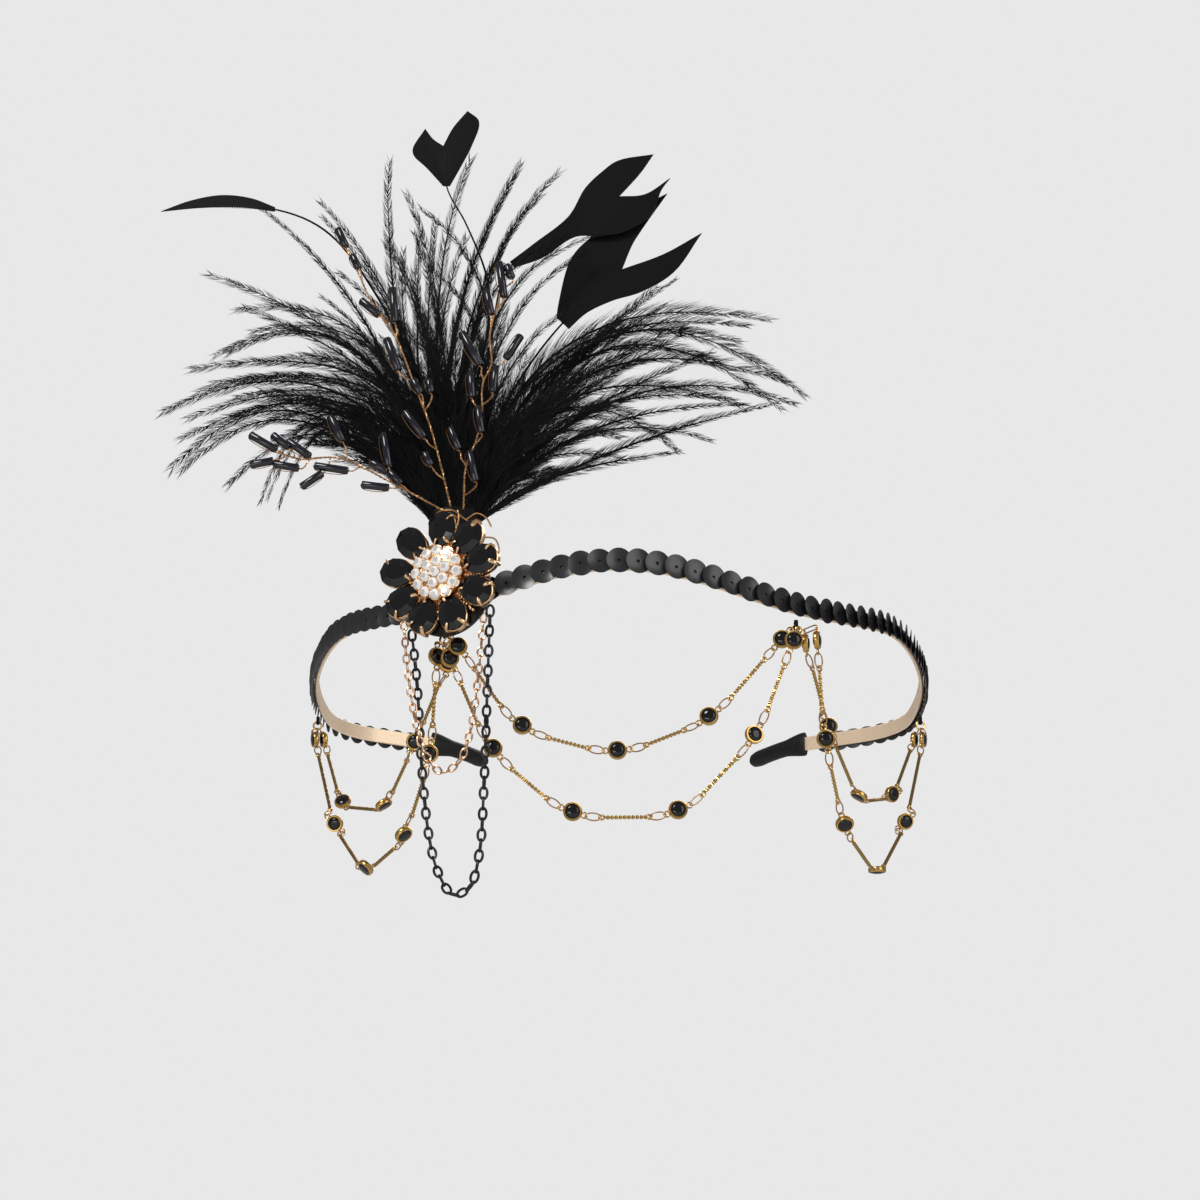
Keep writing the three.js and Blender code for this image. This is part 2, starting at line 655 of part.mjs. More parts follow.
function lockCurve({ reach, aim, peak, bow, lean }) {
  const along = vec(Math.sin(rad(aim)), 0, Math.cos(rad(aim)));
  const across = vec(along.z, 0, -along.x);
  const length = reach * PLUME_REACH;
  const middle = PLUME_ROOT.clone().addScaledVector(along, peak * length).addScaledVector(across, bow * length);
  const tip = PLUME_ROOT.clone().addScaledVector(along, length);
  tip.y += lean * PLUME_REACH;
  const root = PLUME_ROOT.clone();
  root.x += HEAD_HALF_LENGTH * ROOT_SPREAD * Math.sin(rad(aim));
  return new THREE.QuadraticBezierCurve3(root, middle, tip);
}

function makeLock(row) {
  const curve = lockCurve(row);
  const rings = LOCK_SECTIONS.map(({ at, wide, thick }) => {
    const centre = curve.getPoint(at);
    const way = curve.getTangent(at);
    const across = vec(way.z, 0, -way.x).normalize();
    const front = way.clone().cross(across);
    const halfWidth = LOCK_WIDTH * row.width * wide / 2;
    const halfThickness = LOCK_THICKNESS * thick / 2;
    return [[1, 0], [0, 1], [-1, 0], [0, -1]].map(([a, f]) => (
      centre.clone().addScaledVector(across, a * halfWidth).addScaledVector(front, f * halfThickness)));
  });
  return skin(rings);
}

function makePlume() {
  const rings = HEAD_SECTIONS.map(({ drop, wide, deep }) => {
    const ring = [];
    for (let k = 0; k < HEAD_SIDES; k += 1) {
      const angle = 2 * Math.PI * k / HEAD_SIDES;
      ring.push(PLUME_ROOT.clone().add(vec(
        HEAD_HALF_LENGTH * wide * Math.cos(angle),
        HEAD_DEPTH / 2 * deep * Math.sin(angle),
        drop,
      )));
    }
    return ring;
  });
  return fuse([skin(rings), ...LOCKS.map(makeLock)]);
}

function makeCutFeather({ length, aim, quill, blade }) {
  const route = quill.map(([x, y, z]) => PLUME_ROOT.clone().add(vec(x, y, z)));
  const base = route[route.length - 1];
  const outline = new THREE.Shape(blade.map(([along, across]) => new THREE.Vector2(across * length, along * length)));
  const plate = new THREE.ExtrudeGeometry(outline, { depth: BLADE_THICKNESS, bevelEnabled: false });
  plate.translate(0, 0, -BLADE_THICKNESS / 2);
  plate.rotateX(Math.PI / 2);
  plate.rotateY(rad(aim));
  plate.translate(base.x, base.y, base.z);
  const tip = base.clone().add(vec(Math.sin(rad(aim)), 0, Math.cos(rad(aim))).multiplyScalar(length / 8));
  const curve = new THREE.CatmullRomCurve3([...route, tip]);
  return fuse([tube(curve, QUILL_RADIUS, 5, 2 * quill.length), plate]);
}

// Bead sprays

// A bugle bead of the given length at the far end of its twig, if it stands off the stem
function makeBugle(fork, far, length, twig) {
  const way = far.clone().sub(fork);
  const across = vec(way.z, 0, -way.x).normalize();
  const front = way.clone().cross(across).normalize();
  const neck = 1 - length / way.length();
  const step = BUGLE_RADIUS / 2 / way.length();
  const twigStations = [[0, TWIG_RADIUS], [neck, TWIG_RADIUS], [neck + step, BUGLE_RADIUS], [1, BUGLE_RADIUS]];
  const stations = twig ? twigStations : [[0, BUGLE_RADIUS], [1, BUGLE_RADIUS]];
  return skin(stations.map(([share, radius]) => {
    const ring = [];
    for (let k = 0; k < BUGLE_SIDES; k += 1) {
      const angle = 2 * Math.PI * k / BUGLE_SIDES;
      ring.push(fork.clone()
        .addScaledVector(way, share)
        .addScaledVector(across, radius * Math.cos(angle))
        .addScaledVector(front, radius * Math.sin(angle)));
    }
    return ring;
  }));
}

function makeSpray({ root, route, beads }) {
  const points = route.map(([out, up], i) => (
    vec(root[0] + out, i === 0 ? SPRAY_ROOT_Y : SPRAY_FRONT_Y, root[1] + up)));
  const stem = new THREE.CatmullRomCurve3(points);
  const parts = [tube(stem, STEM_RADIUS, 5, 2 * route.length)];
  for (const { at, off, aim, length } of beads) {
    const way = stem.getTangentAt(at);
    const across = vec(way.z, 0, -way.x).normalize();
    const start = stem.getPointAt(at).addScaledVector(across, off);
    start.y = SPRAY_FRONT_Y;
    const far = start.clone().add(vec(Math.sin(rad(aim)), 0, Math.cos(rad(aim))).multiplyScalar(length));
    const away = Math.abs(off);
    const fork = away > BUGLE_RADIUS ? stem.getPointAt(Math.max(0, at - TWIG_LEAD)) : start;
    parts.push(makeBugle(fork, far, length, away > 2.35 * BUGLE_RADIUS));
  }
  return fuse(parts);
}

// Hangers and chains

function makeJumpRing({ x, y, z }) {
  const points = [];
  for (let k = 0; k < JUMP_RING_SIDES; k += 1) {
    const angle = 2 * Math.PI * k / JUMP_RING_SIDES;
    points.push(vec(x + JUMP_RING_RADIUS * Math.cos(angle), y, z + JUMP_RING_RADIUS * Math.sin(angle)));
  }
  return wireHoop(points, vec(0, 1, 0), JUMP_RING_WIRE, WIRE_SIDES);
}

function nearestStation(x, behind) {
  const y = behind - FRONT_REACH;
  let best = null;
  for (let run = -MOUTH_RUN; run <= MOUTH_RUN; run += 1) {
    const station = stationAt(run);
    const away = Math.hypot(station.place.x - x, station.place.y - y);
    if (best === null || away < best.away) {
      best = { away, station };
    }
  }
  return best.station;
}

// A thread loop from under the sequins down through the jump ring
function makeThread({ x, y, z }) {
  const under = nearestStation(x, y).place.z - SEQUIN_DIAMETER / 2;
  const top = under - CLEARANCE - THREAD_RADIUS;
  const bottom = z + JUMP_RING_RADIUS - JUMP_RING_WIRE - THREAD_SLACK - THREAD_RADIUS;
  const points = [];
  for (const [end, turn] of [[bottom, 180], [top, 0]]) {
    for (const step of [0, 60, 120, 180]) {
      const angle = rad(turn + step);
      const rise = THREAD_HALF_WIDTH * Math.sin(angle) * 0.5;
      const inset = end === top ? -THREAD_HALF_WIDTH * 0.5 : THREAD_HALF_WIDTH * 0.5;
      points.push(vec(x, y + THREAD_HALF_WIDTH * Math.cos(angle), end + inset + rise));
    }
  }
  return wireHoop(points, vec(1, 0, 0), THREAD_RADIUS, WIRE_SIDES);
}

function makeBezel(place, facing) {
  const half = BEZEL_DEPTH / 2;
  const profile = [[0, -half], [1, -half], [1, half], [0, half]];
  const stone = new THREE.LatheGeometry(profile.map(([r, h]) => new THREE.Vector2(r * BEZEL_RADIUS, h)), 10);
  stone.applyQuaternion(new THREE.Quaternion().setFromUnitVectors(vec(0, 1, 0), facing));
  stone.translate(place.x, place.y, place.z);
  return stone;
}

function makeStrand({ from, to, stones, across, set }) {
  const start = vec(...from);
  const end = vec(...to);
  const middle = stones.map(({ at, z }) => vec(lerp(start.x, end.x, at), lerp(start.y, end.y, at), z));
  const lead = set ? [] : [end.clone().add(vec(0, 0, STRAND_LEAD))];
  const route = new THREE.CatmullRomCurve3([start, ...middle, end, ...lead]);
  const chain = tube(route, STRAND_RADIUS, 8, Math.round(route.getLength() / CHAIN_STEP));
  if (!set) {
    return chain;
  }
  const plan = end.clone().sub(start).setZ(0).normalize();
  const outward = vec(plan.y, -plan.x, 0);
  const parts = [chain];
  [start, end].forEach((place, i) => {
    parts.push(makeBezel(place, vec(Math.sin(rad(across[i])), -Math.cos(rad(across[i])), 0)));
  });
  middle.forEach((place) => {
    parts.push(makeBezel(place, outward));
  });
  return fuse(parts);
}

function makeChain(route, radius) {
  const curve = new THREE.CatmullRomCurve3(route.map((point) => vec(...point)));
  return tube(curve, radius, 8, Math.round(curve.getLength() / CHAIN_STEP));
}

// Materials

function material(color, roughness, metalness) {
  return new THREE.MeshStandardMaterial({ color, roughness, metalness });
}

const PALE_GOLD = material(0xd9ab7c, 0.3, 1);
const YELLOW_GOLD = material(0xc99a45, 0.3, 1);
const ROSE_GOLD = material(0xc08a62, 0.35, 1);
const BLACK_METAL = material(0x17171a, 0.4, 0.6);
const BLACK_SEQUIN = material(0x202023, 0.45, 0.1);
const BLACK_RUBBER = material(0x1b1b1d, 0.8, 0);
const BLACK_LEATHER = material(0x161617, 0.6, 0);
const BLACK_STONE = material(0x101013, 0.12, 0);
const CLEAR_STONE = material(0xf3ece6, 0.05, 0);
const BLACK_FEATHER = material(0x0c0c0e, 0.75, 0);
const BLACK_BUGLE = material(0x17171d, 0.2, 0);
const BLACK_THREAD = material(0x131314, 0.9, 0);

const headband = new THREE.Group();

function add(group, name, geometry, look) {
  const mesh = new THREE.Mesh(geometry, look);
  mesh.name = name;
  group.add(mesh);
}

add(headband, 'band_strip', makeStrip(), PALE_GOLD);
add(headband, 'sequins', makeSequins(), BLACK_SEQUIN);
add(headband, 'tip_left', makeTip(-1), BLACK_RUBBER);
add(headband, 'tip_right', makeTip(1), BLACK_RUBBER);

// All that the strip carries is placed from the strip's front, so y counts back from there
const trim = new THREE.Group();
trim.position.y = -FRONT_REACH;
headband.add(trim);

const ornament = new THREE.Group();
ornament.position.set(DISC_PLACE.x, DISC_PLACE.y, DISC_PLACE.z);
ornament.rotation.set(rad(90 + DISC_PLACE.pitch), 0, rad(DISC_PLACE.yaw), 'ZYX');
add(ornament, 'backing_disc', makeDisc(), BLACK_LEATHER);
const flower = new THREE.Group();
flower.position.set(FLOWER_SHIFT, FLOWER_RAISE, DISC_THICKNESS / 2);
add(flower, 'flower_setting', makeFlowerSetting(), PALE_GOLD);
PETALS.forEach((petal, i) => add(flower, `petal_stone_${i + 1}`, makePetalStone(petal), BLACK_STONE));
add(flower, 'stone_cluster', makeCluster(), CLEAR_STONE);
ornament.add(flower);
trim.add(ornament);

add(trim, 'plume', makePlume(), BLACK_FEATHER);
CUT_FEATHERS.forEach((row) => add(trim, row.name, makeCutFeather(row), BLACK_FEATHER));
SPRAYS.forEach((row) => add(trim, row.name, makeSpray(row), BLACK_BUGLE));

HANGERS.forEach((row) => {
  add(trim, `jump_ring_${row.name}`, makeJumpRing(row), YELLOW_GOLD);
  add(trim, `thread_${row.name}`, makeThread(row), BLACK_THREAD);
});
STRANDS.forEach((row) => add(trim, row.name, makeStrand(row), YELLOW_GOLD));
add(trim, 'chain_loop_black', makeChain(BLACK_CHAIN_ROUTE, BLACK_CHAIN_RADIUS), BLACK_METAL);
add(trim, 'chain_loop_rose', makeChain(ROSE_CHAIN_ROUTE, ROSE_CHAIN_RADIUS), ROSE_GOLD);

export default headband;
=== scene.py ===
"""Looks of the flapper feather headband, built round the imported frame.

Every length is in millimetres until a piece is finished. The front faces -Y and +Z is up.
"""

import math

import bpy
import numpy as np
from mathutils import Matrix, Vector


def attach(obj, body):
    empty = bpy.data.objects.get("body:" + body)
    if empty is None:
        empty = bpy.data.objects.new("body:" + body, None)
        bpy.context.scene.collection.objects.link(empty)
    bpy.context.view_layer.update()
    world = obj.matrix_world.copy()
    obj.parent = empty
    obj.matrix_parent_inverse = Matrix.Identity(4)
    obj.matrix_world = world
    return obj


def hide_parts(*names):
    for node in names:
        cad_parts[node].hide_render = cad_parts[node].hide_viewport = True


MM = 0.001
RNG = np.random.default_rng(11)


def table(columns, *rows):
    """Rows of values, each as a dictionary with these column names."""
    names = columns.split()
    return [dict(zip(names, row)) for row in rows]



# Strip: half of its plan from the front centre to the tip's mouth
HEAD_HALF_WIDTH = 81.8
FRONT_REACH = 88
STRIP_PLAN = [
    {"run": 0.96, "turn": 60},
    {"run": 0.282, "turn": 13},
    {"run": 0.778, "turn": 20.5},
    {"run": 0.287, "turn": 55.5},
    {"run": 0.219, "turn": 0},
]
STRIP_HEIGHT = 4
STRIP_THICKNESS = 0.8
CREST_RISE = 2
DIP_DROP = 4.5
DIP_AT = 46
LEVEL_AT = 92

SEQUIN_RADIUS = 3
SEQUIN_PITCH = 4.36
SEQUIN_OFFSET = 1.12
SEQUIN_TILT = 11
SEQUIN_CUP = 0.4
SEQUIN_HOLE = 0.42

TIP_LENGTH = 21
TIP_MOUTH = 7
TIP_GRIP = 5
TIP_FLARE = 20
TIP_DROOP = 1.5
TIP_SECTIONS = [
    {"at": 0, "tall": 1, "thick": 0.48},
    {"at": 0.05, "tall": 1.02, "thick": 0.5},
    {"at": 0.16, "tall": 0.95, "thick": 0.49},
    {"at": 0.4, "tall": 0.7, "thick": 0.52},
    {"at": 0.72, "tall": 0.66, "thick": 0.64},
    {"at": 0.88, "tall": 0.68, "thick": 0.68},
    {"at": 0.96, "tall": 0.56, "thick": 0.56},
    {"at": 1, "tall": 0.3, "thick": 0.3},
]

DISC_RADIUS = 11.2
DISC_THICKNESS = 1.2
DISC_PLACE = (-40.1, -81.2, -2.4)
DISC_YAW = -21
DISC_PITCH = 4
FLOWER_RAISE = 3.2
FLOWER_SHIFT = -0.6

PETAL_RING = 10.7
PETAL_LENGTH = 7.2
PETAL_WIDTH = 5.4
PETAL_SWELL = 0.12
STONE_SEAT = 1.4
SETTING_RIM = 0.9
PETALS = table(
    "angle reach tilt",
    (5, 1.0, 0),
    (44, 1.0, 3),
    (79, 1.03, 3),
    (118, 1.0, 2),
    (161, 0.98, 2),
    (201, 0.98, 2),
    (239, 1.02, 2),
    (278, 1.0, 3),
    (320, 0.98, 3),
)
# Claws of each petal: where round its edge from the outer end, and how thick
CLAWS = table(
    "petal at radius",
    (1, 140, 0.45), (1, 205, 0.32), (1, 45, 0.25),
    (2, -5, 0.55), (2, 165, 0.38), (2, 220, 0.3),
    (3, 35, 0.55), (3, 160, 0.4), (3, -40, 0.3),
    (4, 45, 0.45), (4, -45, 0.42), (4, 150, 0.32),
    (5, -35, 0.5), (5, 40, 0.38), (5, 170, 0.42),
    (6, -25, 0.55), (6, 45, 0.3), (6, 165, 0.45),
    (7, -45, 0.38), (7, 205, 0.48), (7, 40, 0.28),
    (8, 210, 0.45), (8, 50, 0.25),
    (9, 150, 0.35), (9, 210, 0.3),
)
# Rows of gold beads between the petals: heading in degrees and how far out they start and end
BEAD_ROWS = table(
    "angle start end",
    (98, 6.6, 13.2),
    (108, 7.2, 13.6),
    (139, 6.8, 13),
    (181, 7, 11),
    (62, 7, 9),
)
# Loose copper wires round the outer petals
WIRE_ARCS = [
    [(-1.5, 14.3, 1.6), (0.4, 15.2, 2.2), (3.6, 15.0, 2.4), (6.5, 12.6, 2.4), (8.4, 11.2, 2.2)],
    [(7.2, 12.2, 2.4), (9.8, 13.3, 2.4), (12.1, 12, 2.2), (13.2, 9.8, 1.8)],
    [(11.6, 7.4, 2.2), (14.2, 6.6, 2.3), (15.2, 4.4, 2.2), (14.6, 1.6, 1.8)],
    [(5, 11, 2.6), (5.3, 13, 2.5), (4.9, 14.8, 2.2)],
]
HUB_RADIUS = 8
CLUSTER_RADIUS = 5.7
CLUSTER_HEIGHT = 2.3
CRYSTAL_RADIUS = 1.36
CRYSTAL_HEIGHT = 1.15
CRYSTAL_RINGS = [
    {"count": 1, "ring": 0, "rise": 0.75, "start": 0},
    {"count": 6, "ring": 0.45, "rise": 0.5, "start": 12},
    {"count": 12, "ring": 0.9, "rise": 0, "start": 3},
]

PLUME_ROOT = (-38.7, -78.2, 14.2)
HEAD_HALF_LENGTH = 6.4
HEAD_DEPTH = 4.6
ROOT_SPREAD = 0.7
HEAD_RINGS = table(
    "at wide deep",
    (-12, 0.3, 0.7),
    (-7, 0.62, 0.95),
    (-3, 0.85, 1),
    (1, 1, 1),
    (4.5, 0.85, 0.8),
)
# Feathers: reach to the tip in millimetres, aim from straight up in degrees, the arch's peak and
# bow as shares of reach, how far the tip leans back, and the barbs' length on the left and right
FEATHERS = table(
    "reach aim peak bow back left right",
    (99, -30, 0.63, 0.15, 4, 3.5, 3),
    (97, -22, 0.57, 0.14, 8, 4, 4),
    (74, -24, 0.64, 0.19, 2, 4, 4),
    (93, -42, 0.34, 0.3, 6, 6, 4.5),
    (83, -43, 0.68, 0.43, 9, 5, 4.5),
    (76.5, -51.6, 0.77, 0.55, 6, 5, 4),
    (77, -57.3, 0.43, 0.54, 2, 6.5, 4.5),
    (75, -59.1, 0.52, 0.5, 8, 6, 4.5),
    (78, -66.4, 0.53, 0.54, 3, 6, 5),
    (62.5, -51.4, 0.42, 0.31, 8, 6, 5),
    (70, -76.7, 0.69, 0.59, 2, 6, 5),
    (56.6, -59.8, 0.68, 0.44, 6, 5, 5),
    (48.6, -78.9, 0.88, 0.99, 8, 3, 3),
    (101.7, -10.8, 0.63, -0.09, 5, 5, 5),
    (93.7, -9, 0.62, 0.08, 8, 4.5, 4.5),
    (86.3, -6.9, 0.67, 0.32, 3, 4, 3.5),
    (101, 0.8, 0.57, -0.13, 6, 5.5, 5.5),
    (85, -4.7, 0.35, -0.1, 8, 5, 4),
    (101, 8.1, 0.44, -0.17, 6, 4.5, 4.5),
    (98, 14, 0.64, -0.2, 2, 4.5, 4.5),
    (82, 7.8, 0.5, -0.09, 8, 4, 4),
    (70, -9.6, 0.64, 0.01, 3, 5, 5),
    (80, -13.9, 0.63, 0.1, 6, 5, 5),
    (82.7, 22.3, 0.65, -0.23, 8, 4, 4),
    (87, 23.3, 0.68, -0.33, 5, 4, 4),
    (91.5, 55.1, 0.53, -0.52, -3, 10, 5),
    (91.5, 66.4, 0.65, -0.69, 7, 9, 6),
    (85.9, 66.3, 0.52, -0.54, -6, 9, 6),
    (85.8, 52.8, 0.61, -0.48, 8, 9, 5),
    (75, 46.3, 0.34, -0.15, 4, 8, 6),
    (86.5, 69.8, 0.58, -0.4, -4, 6, 6),
    (76, 61.9, 0.51, -0.35, 7, 6, 5),
    (78.5, 63.4, 0.42, -0.24, 8, 5, 4),
    (82, 68.9, 0.42, -0.1, -6, 6, 3.5),
    (56, 71.8, 0.4, -0.17, -4, 4, 5),
    (78, 52, 0.34, -0.15, 6, 6, 6),
    (89, 36.6, 0.5, -0.1, 13, 3, 3),
    (84.8, 34.5, 0.5, -0.08, 14, 5, 4),
    (68, 33, 0.5, -0.1, 12, 8, 8),
    (74, 48, 0.5, -0.24, -5, 9, 6),
    (62, 45, 0.5, -0.22, -5, 6, 6),
)
# Feathers that lean further out than SIDE_AIM arch to the side. The taper is how much shorter the
# barbs get towards the tip, for those that arch to the right and for all others. A right-hand
# feather with long barbs on its left has more feathers beside it.
SIDE_AIM = 38
RIGHT_TAPER = 0.72
USUAL_TAPER = 0.5
LONG_BARBS = 5.5
LONGEST_BARBS = 9
PIECE_AIM = 18
DOWN_COUNT = 64
DOWN_SHORTEST = 30
DOWN_LONGEST = 66
DOWN_LONGEST_RIGHT = 38
BARB_SPACING = 0.24
BARB_WIDTH = 0.1
BARB_LEAN = 20
BARB_STRETCH = 1.2
BARE_SHARE = 0.05
QUILL_BASE = 0.42

# Cut feathers, as in the solids: quill points from the plume's root, and the blade's outline
# along and across its own line as shares of its length. corners are its sharp points.
CUT_FEATHERS = [
    {
        "name": "cut_feather_top", "length": 21.3, "aim": 0,
        "quill": [(-0.8, 3.2, 0), (1.7, 3.6, 26), (6.6, 4.6, 54), (6.1, 6.5, 68), (0.5, 8, 84),
                  (-4.7, 8.5, 95)],
        "blade": [(0, 0.04), (0.31, 0.19), (0.54, 0.29), (0.86, 0.37), (1, 0.23), (0.77, 0.06),
                  (0.53, -0.05), (0.62, -0.17), (0.76, -0.27), (0.5, -0.41), (0.41, -0.4),
                  (0.24, -0.24), (0, -0.04)],
        "corners": [0, 4, 6, 8, 12], "notch": 0.53,
    },
    {
        "name": "cut_feather_upper", "length": 46.8, "aim": 54.6,
        "quill": [(1.2, 3.2, 0), (3.5, 5.4, 26), (7.1, 8, 51), (12, 10.6, 74.2)],
        "blade": [(0, 0.02), (0.15, 0.06), (0.37, 0.06), (0.49, 0.14), (0.6, 0.19), (0.78, 0.19),
                  (0.91, 0.1), (0.99, 0.07), (0.82, 0.07), (0.7, 0), (0.88, -0.05), (1, -0.1), (0.82, -0.18),
                  (0.71, -0.175), (0.58, -0.147), (0.41, -0.06), (0.17, -0.034), (0, -0.02)],
        "corners": [0, 7, 9, 11, 17], "notch": 0.7,
    },
    {
        "name": "cut_feather_lower", "length": 44, "aim": 45,
        "quill": [(3.2, 3.4, 0), (6.2, 6, 21), (13.4, 9, 40.3), (24.7, 12, 58.8)],
        "blade": [(0, 0.05), (0.14, 0.05), (0.3, 0.1), (0.45, 0.175), (0.67, 0.22), (0.96, 0.16),
                  (0.71, 0.1), (0.475, 0), (0.63, -0.07), (0.74, -0.1), (1, -0.157), (0.73, -0.234),
                  (0.46, -0.27), (0.36, -0.264), (0.27, -0.234), (0.05, -0.09), (0, -0.05)],
        "corners": [0, 5, 7, 10, 16], "notch": 0.475,
    },
    {
        "name": "cut_feather_left", "length": 28.6, "aim": -87.7,
        "quill": [(-2.8, 3.2, 0), (-7, 5, 25), (-13, 6.8, 46), (-21, 8.4, 64), (-34.6, 10, 83),
                  (-47.9, 10.5, 89.5)],
        "blade": [(0, 0.02), (0.22, 0.1), (0.48, 0.12), (0.75, 0.055), (1, -0.06), (0.66, -0.01),
                  (0.31, 0.01), (0, -0.02)],
        "corners": [0, 4, 7], "notch": 0.8,
    },
]
BLADE_THICKNESS = 0.35

SPRAY_ROOT_Y = -81.4
SPRAY_FRONT_Y = -84
BUGLE_RADIUS = 1
SPRAYS = [
    {
        "name": "spray_left", "root": (-41.2, 17.2),
        "route": [(0, 0), (-13.3, 6.7), (-24.8, 12.3), (-33.9, 12.1), (-41.1, 14.3)],
        "beads": table(
            "at off aim length",
            (0.97, 0.6, -59, 7.4),
            (0.96, -2.2, -102, 5.5),
            (0.91, 2.1, -51, 5.2),
            (0.78, 0.6, -53, 6.6),
            (0.83, -2.4, -80, 6),
            (0.72, -3.9, -126, 6),
            (0.55, -2.3, -81, 8),
            (0.63, 4.4, -26, 7.1),
            (0.31, -1.5, -83, 6.4),
            (0.36, 1.8, -56, 4.5),
            (0.26, 0.6, -43, 4.1),
            (0.37, 3.3, -10, 8.5),
        ),
    },
    {
        "name": "spray_middle", "root": (-39.6, 18.2),
        "route": [(0, 0), (-2.8, 11.3), (-5.1, 19.5), (-9.5, 31.3), (-14.6, 44.1), (-19.9, 51.8),
                  (-24, 60.8),
                  (-27.9, 68.4)],
        "beads": table(
            "at off aim length",
            (0.97, 0.3, -24, 5.3),
            (0.88, 0.6, -26, 4),
            (0.7, -0.5, -48, 6),
            (0.65, 1.6, -6, 9.1),
            (0.49, -2.4, -20, 8.9),
            (0.39, 0.6, -29, 4.1),
            (0.24, -2.1, -36, 8.3),
            (0.38, 3, -13, 3.5),
            (0.14, -2.2, -28, 3.7),
        ),
    },
    {
        "name": "spray_right", "root": (-36.6, 17.6),
        "route": [(0, 0), (0.6, 9.6), (2.8, 16.2), (4.1, 22.9), (4.2, 31.1), (6.1, 35.8), (5.7, 44.2),
                  (7.8, 53.4),
                  (8.8, 62.8)],
        "beads": table(
            "at off aim length",
            (0.86, 1.1, -8, 9.4),
            (0.78, -0.8, -11, 6.8),
            (0.94, 2.3, -20, 3.7),
            (0.56, -2.5, -28, 9.8),
            (0.6, 3.4, 30, 7),
            (0.44, -2.3, -5, 6.5),
            (0.46, 2.6, 5, 6.8),
            (0.3, 0.8, -9, 6.8),
            (0.21, -3, -22, 6),
            (0.1, 2.8, -13, 7.8),
        ),
    },
]

JUMP_RING_RADIUS = 1.1
JUMP_RING_WIRE = 0.28
THREAD_RADIUS = 0.16
HANGERS = [
    {"name": "left", "x": -82.9, "y": 22, "z": -5.8},
    {"name": "flower", "x": -40.6, "y": -77, "z": -13.2},
    {"name": "right_front", "x": 41.5, "y": -75, "z": -10.3},
    {"name": "right", "x": 82.9, "y": 22, "z": -5.8},
]

BEZEL_RADIUS = 2.2
BEZEL_DEPTH = 1.9
# Strands: end stones' places, the stones between them (share of the way, height), and the jump
# rings they hang from. faces has each stone's heading and how far it faces up, in degrees.
STRANDS = [
    {
        "name": "strand_front_inner", "from": (-37.4, -78.2, -15.2), "to": (38.2, -75, -12.4),
        "stones": [(0.2, -34.1), (0.49, -39.8), (0.77, -31.4)],
        "faces": [(0, 0), (5, 0), (0, -5), (-8, 0), (-8, -4)],
        "rings": ("flower", "right_front"),
    },
    {
        "name": "strand_front_outer", "from": (-39.4, -76, -17.4), "to": (40.7, -77.6, -13.5),
        "stones": [(0.13, -39.2), (0.36, -54.3), (0.66, -54), (0.88, -36.3)],
        "faces": [(12, -4), (0, 0), (0, -6), (4, 0), (18, 0), (5, -4)],
        "rings": ("flower", "right_front"),
    },
    {
        "name": "strand_right_inner", "from": (43.8, -73.4, -12.9), "to": (81.1, 22, -9.8),
        "stones": [(0.17, -28.6), (0.42, -39.6), (0.74, -31.5)],
        "faces": [(80, 0), (0, -5), (-78, -61), (38, -13), (70, -6)],
        "rings": ("right_front", "right"),
    },
    {
        "name": "strand_right_outer", "from": (46.6, -72.4, -11.8), "to": (83.5, 22, -9.8),
        "stones": [(0.05, -34.6), (0.19, -51.9), (0.47, -57.3), (0.77, -38.1)],
        "faces": [(76, 0), (0, -10), (8, -48), (0, 85), (18, -17), (70, -6)],
        "rings": ("right_front", "right"),
    },
    {
        "name": "strand_left_inner", "from": (-40.4, -70.4, -17), "to": (-81.1, 22, -9.8),
        "stones": [(0.22, -30.4), (0.45, -40.7), (0.8, -31.9)],
        "faces": [(20, 0), (0, -17), (78, -60), (-10, 28), (-68, -8)],
        "rings": ("flower", "left"),
    },
    {
        "name": "strand_left_outer", "from": (-42.6, -73.6, -16.2), "to": (-83.5, 22, -9.8),
        "stones": [(0.04, -38.8), (0.21, -54.2), (0.5, -56.2), (0.78, -38.5)],
        "faces": [(36, -4), (0, -17), (55, -48), (-63, -46), (-12, -17), (-68, -8)],
        "rings": ("flower", "left"),
    },
]
BAR_MARGIN = 6.2

BLACK_CHAIN_ROUTE = [(-48.4, -77, -11), (-46.8, -76.8, -24), (-45.1, -76.8, -45), (-43, -77.2, -61),
                     (-40.7, -78.2, -69), (-37.2, -80, -74.2), (-33.4, -82, -73), (-31.3, -83.6, -66),
                     (-30.4, -84.8, -50), (-30, -85.4, -28), (-29.6, -85.9, -8)]
ROSE_CHAIN_ROUTE = [(-50.1, -79.2, -9.6), (-48.9, -79.3, -21), (-47, -79.4, -32), (-44.4, -79.5, -41.3),
                    (-40.3, -80, -45.9), (-36.4, -81, -43.6), (-33.9, -82, -36.8), (-32.4, -82.6, -25),
                    (-31.2, -83.2, -9)]

# Camera, from below, with the origin a little right of and below the picture's middle
CAMERA_ELEVATION = -17
CAMERA_DISTANCE = 615
PHOTO_WIDTH = 1200
FOCAL_PIXELS = 2306
ORIGIN_RIGHT = 19
ORIGIN_DOWN = 82
FLOOR_DROP = 300
PALE = 0.806


# Vectors and curves

def vec(*numbers):
    return np.array(numbers, float)


def unit(v):
    v = np.asarray(v, float)
    return v / np.linalg.norm(v, axis=-1, keepdims=True)


def upright(v):
    """A direction square to v, as level as can be."""
    side = np.cross(v, (0, 0, 1))
    if np.linalg.norm(side) < 1e-3:
        side = vec(1, 0, 0)
    return unit(side)


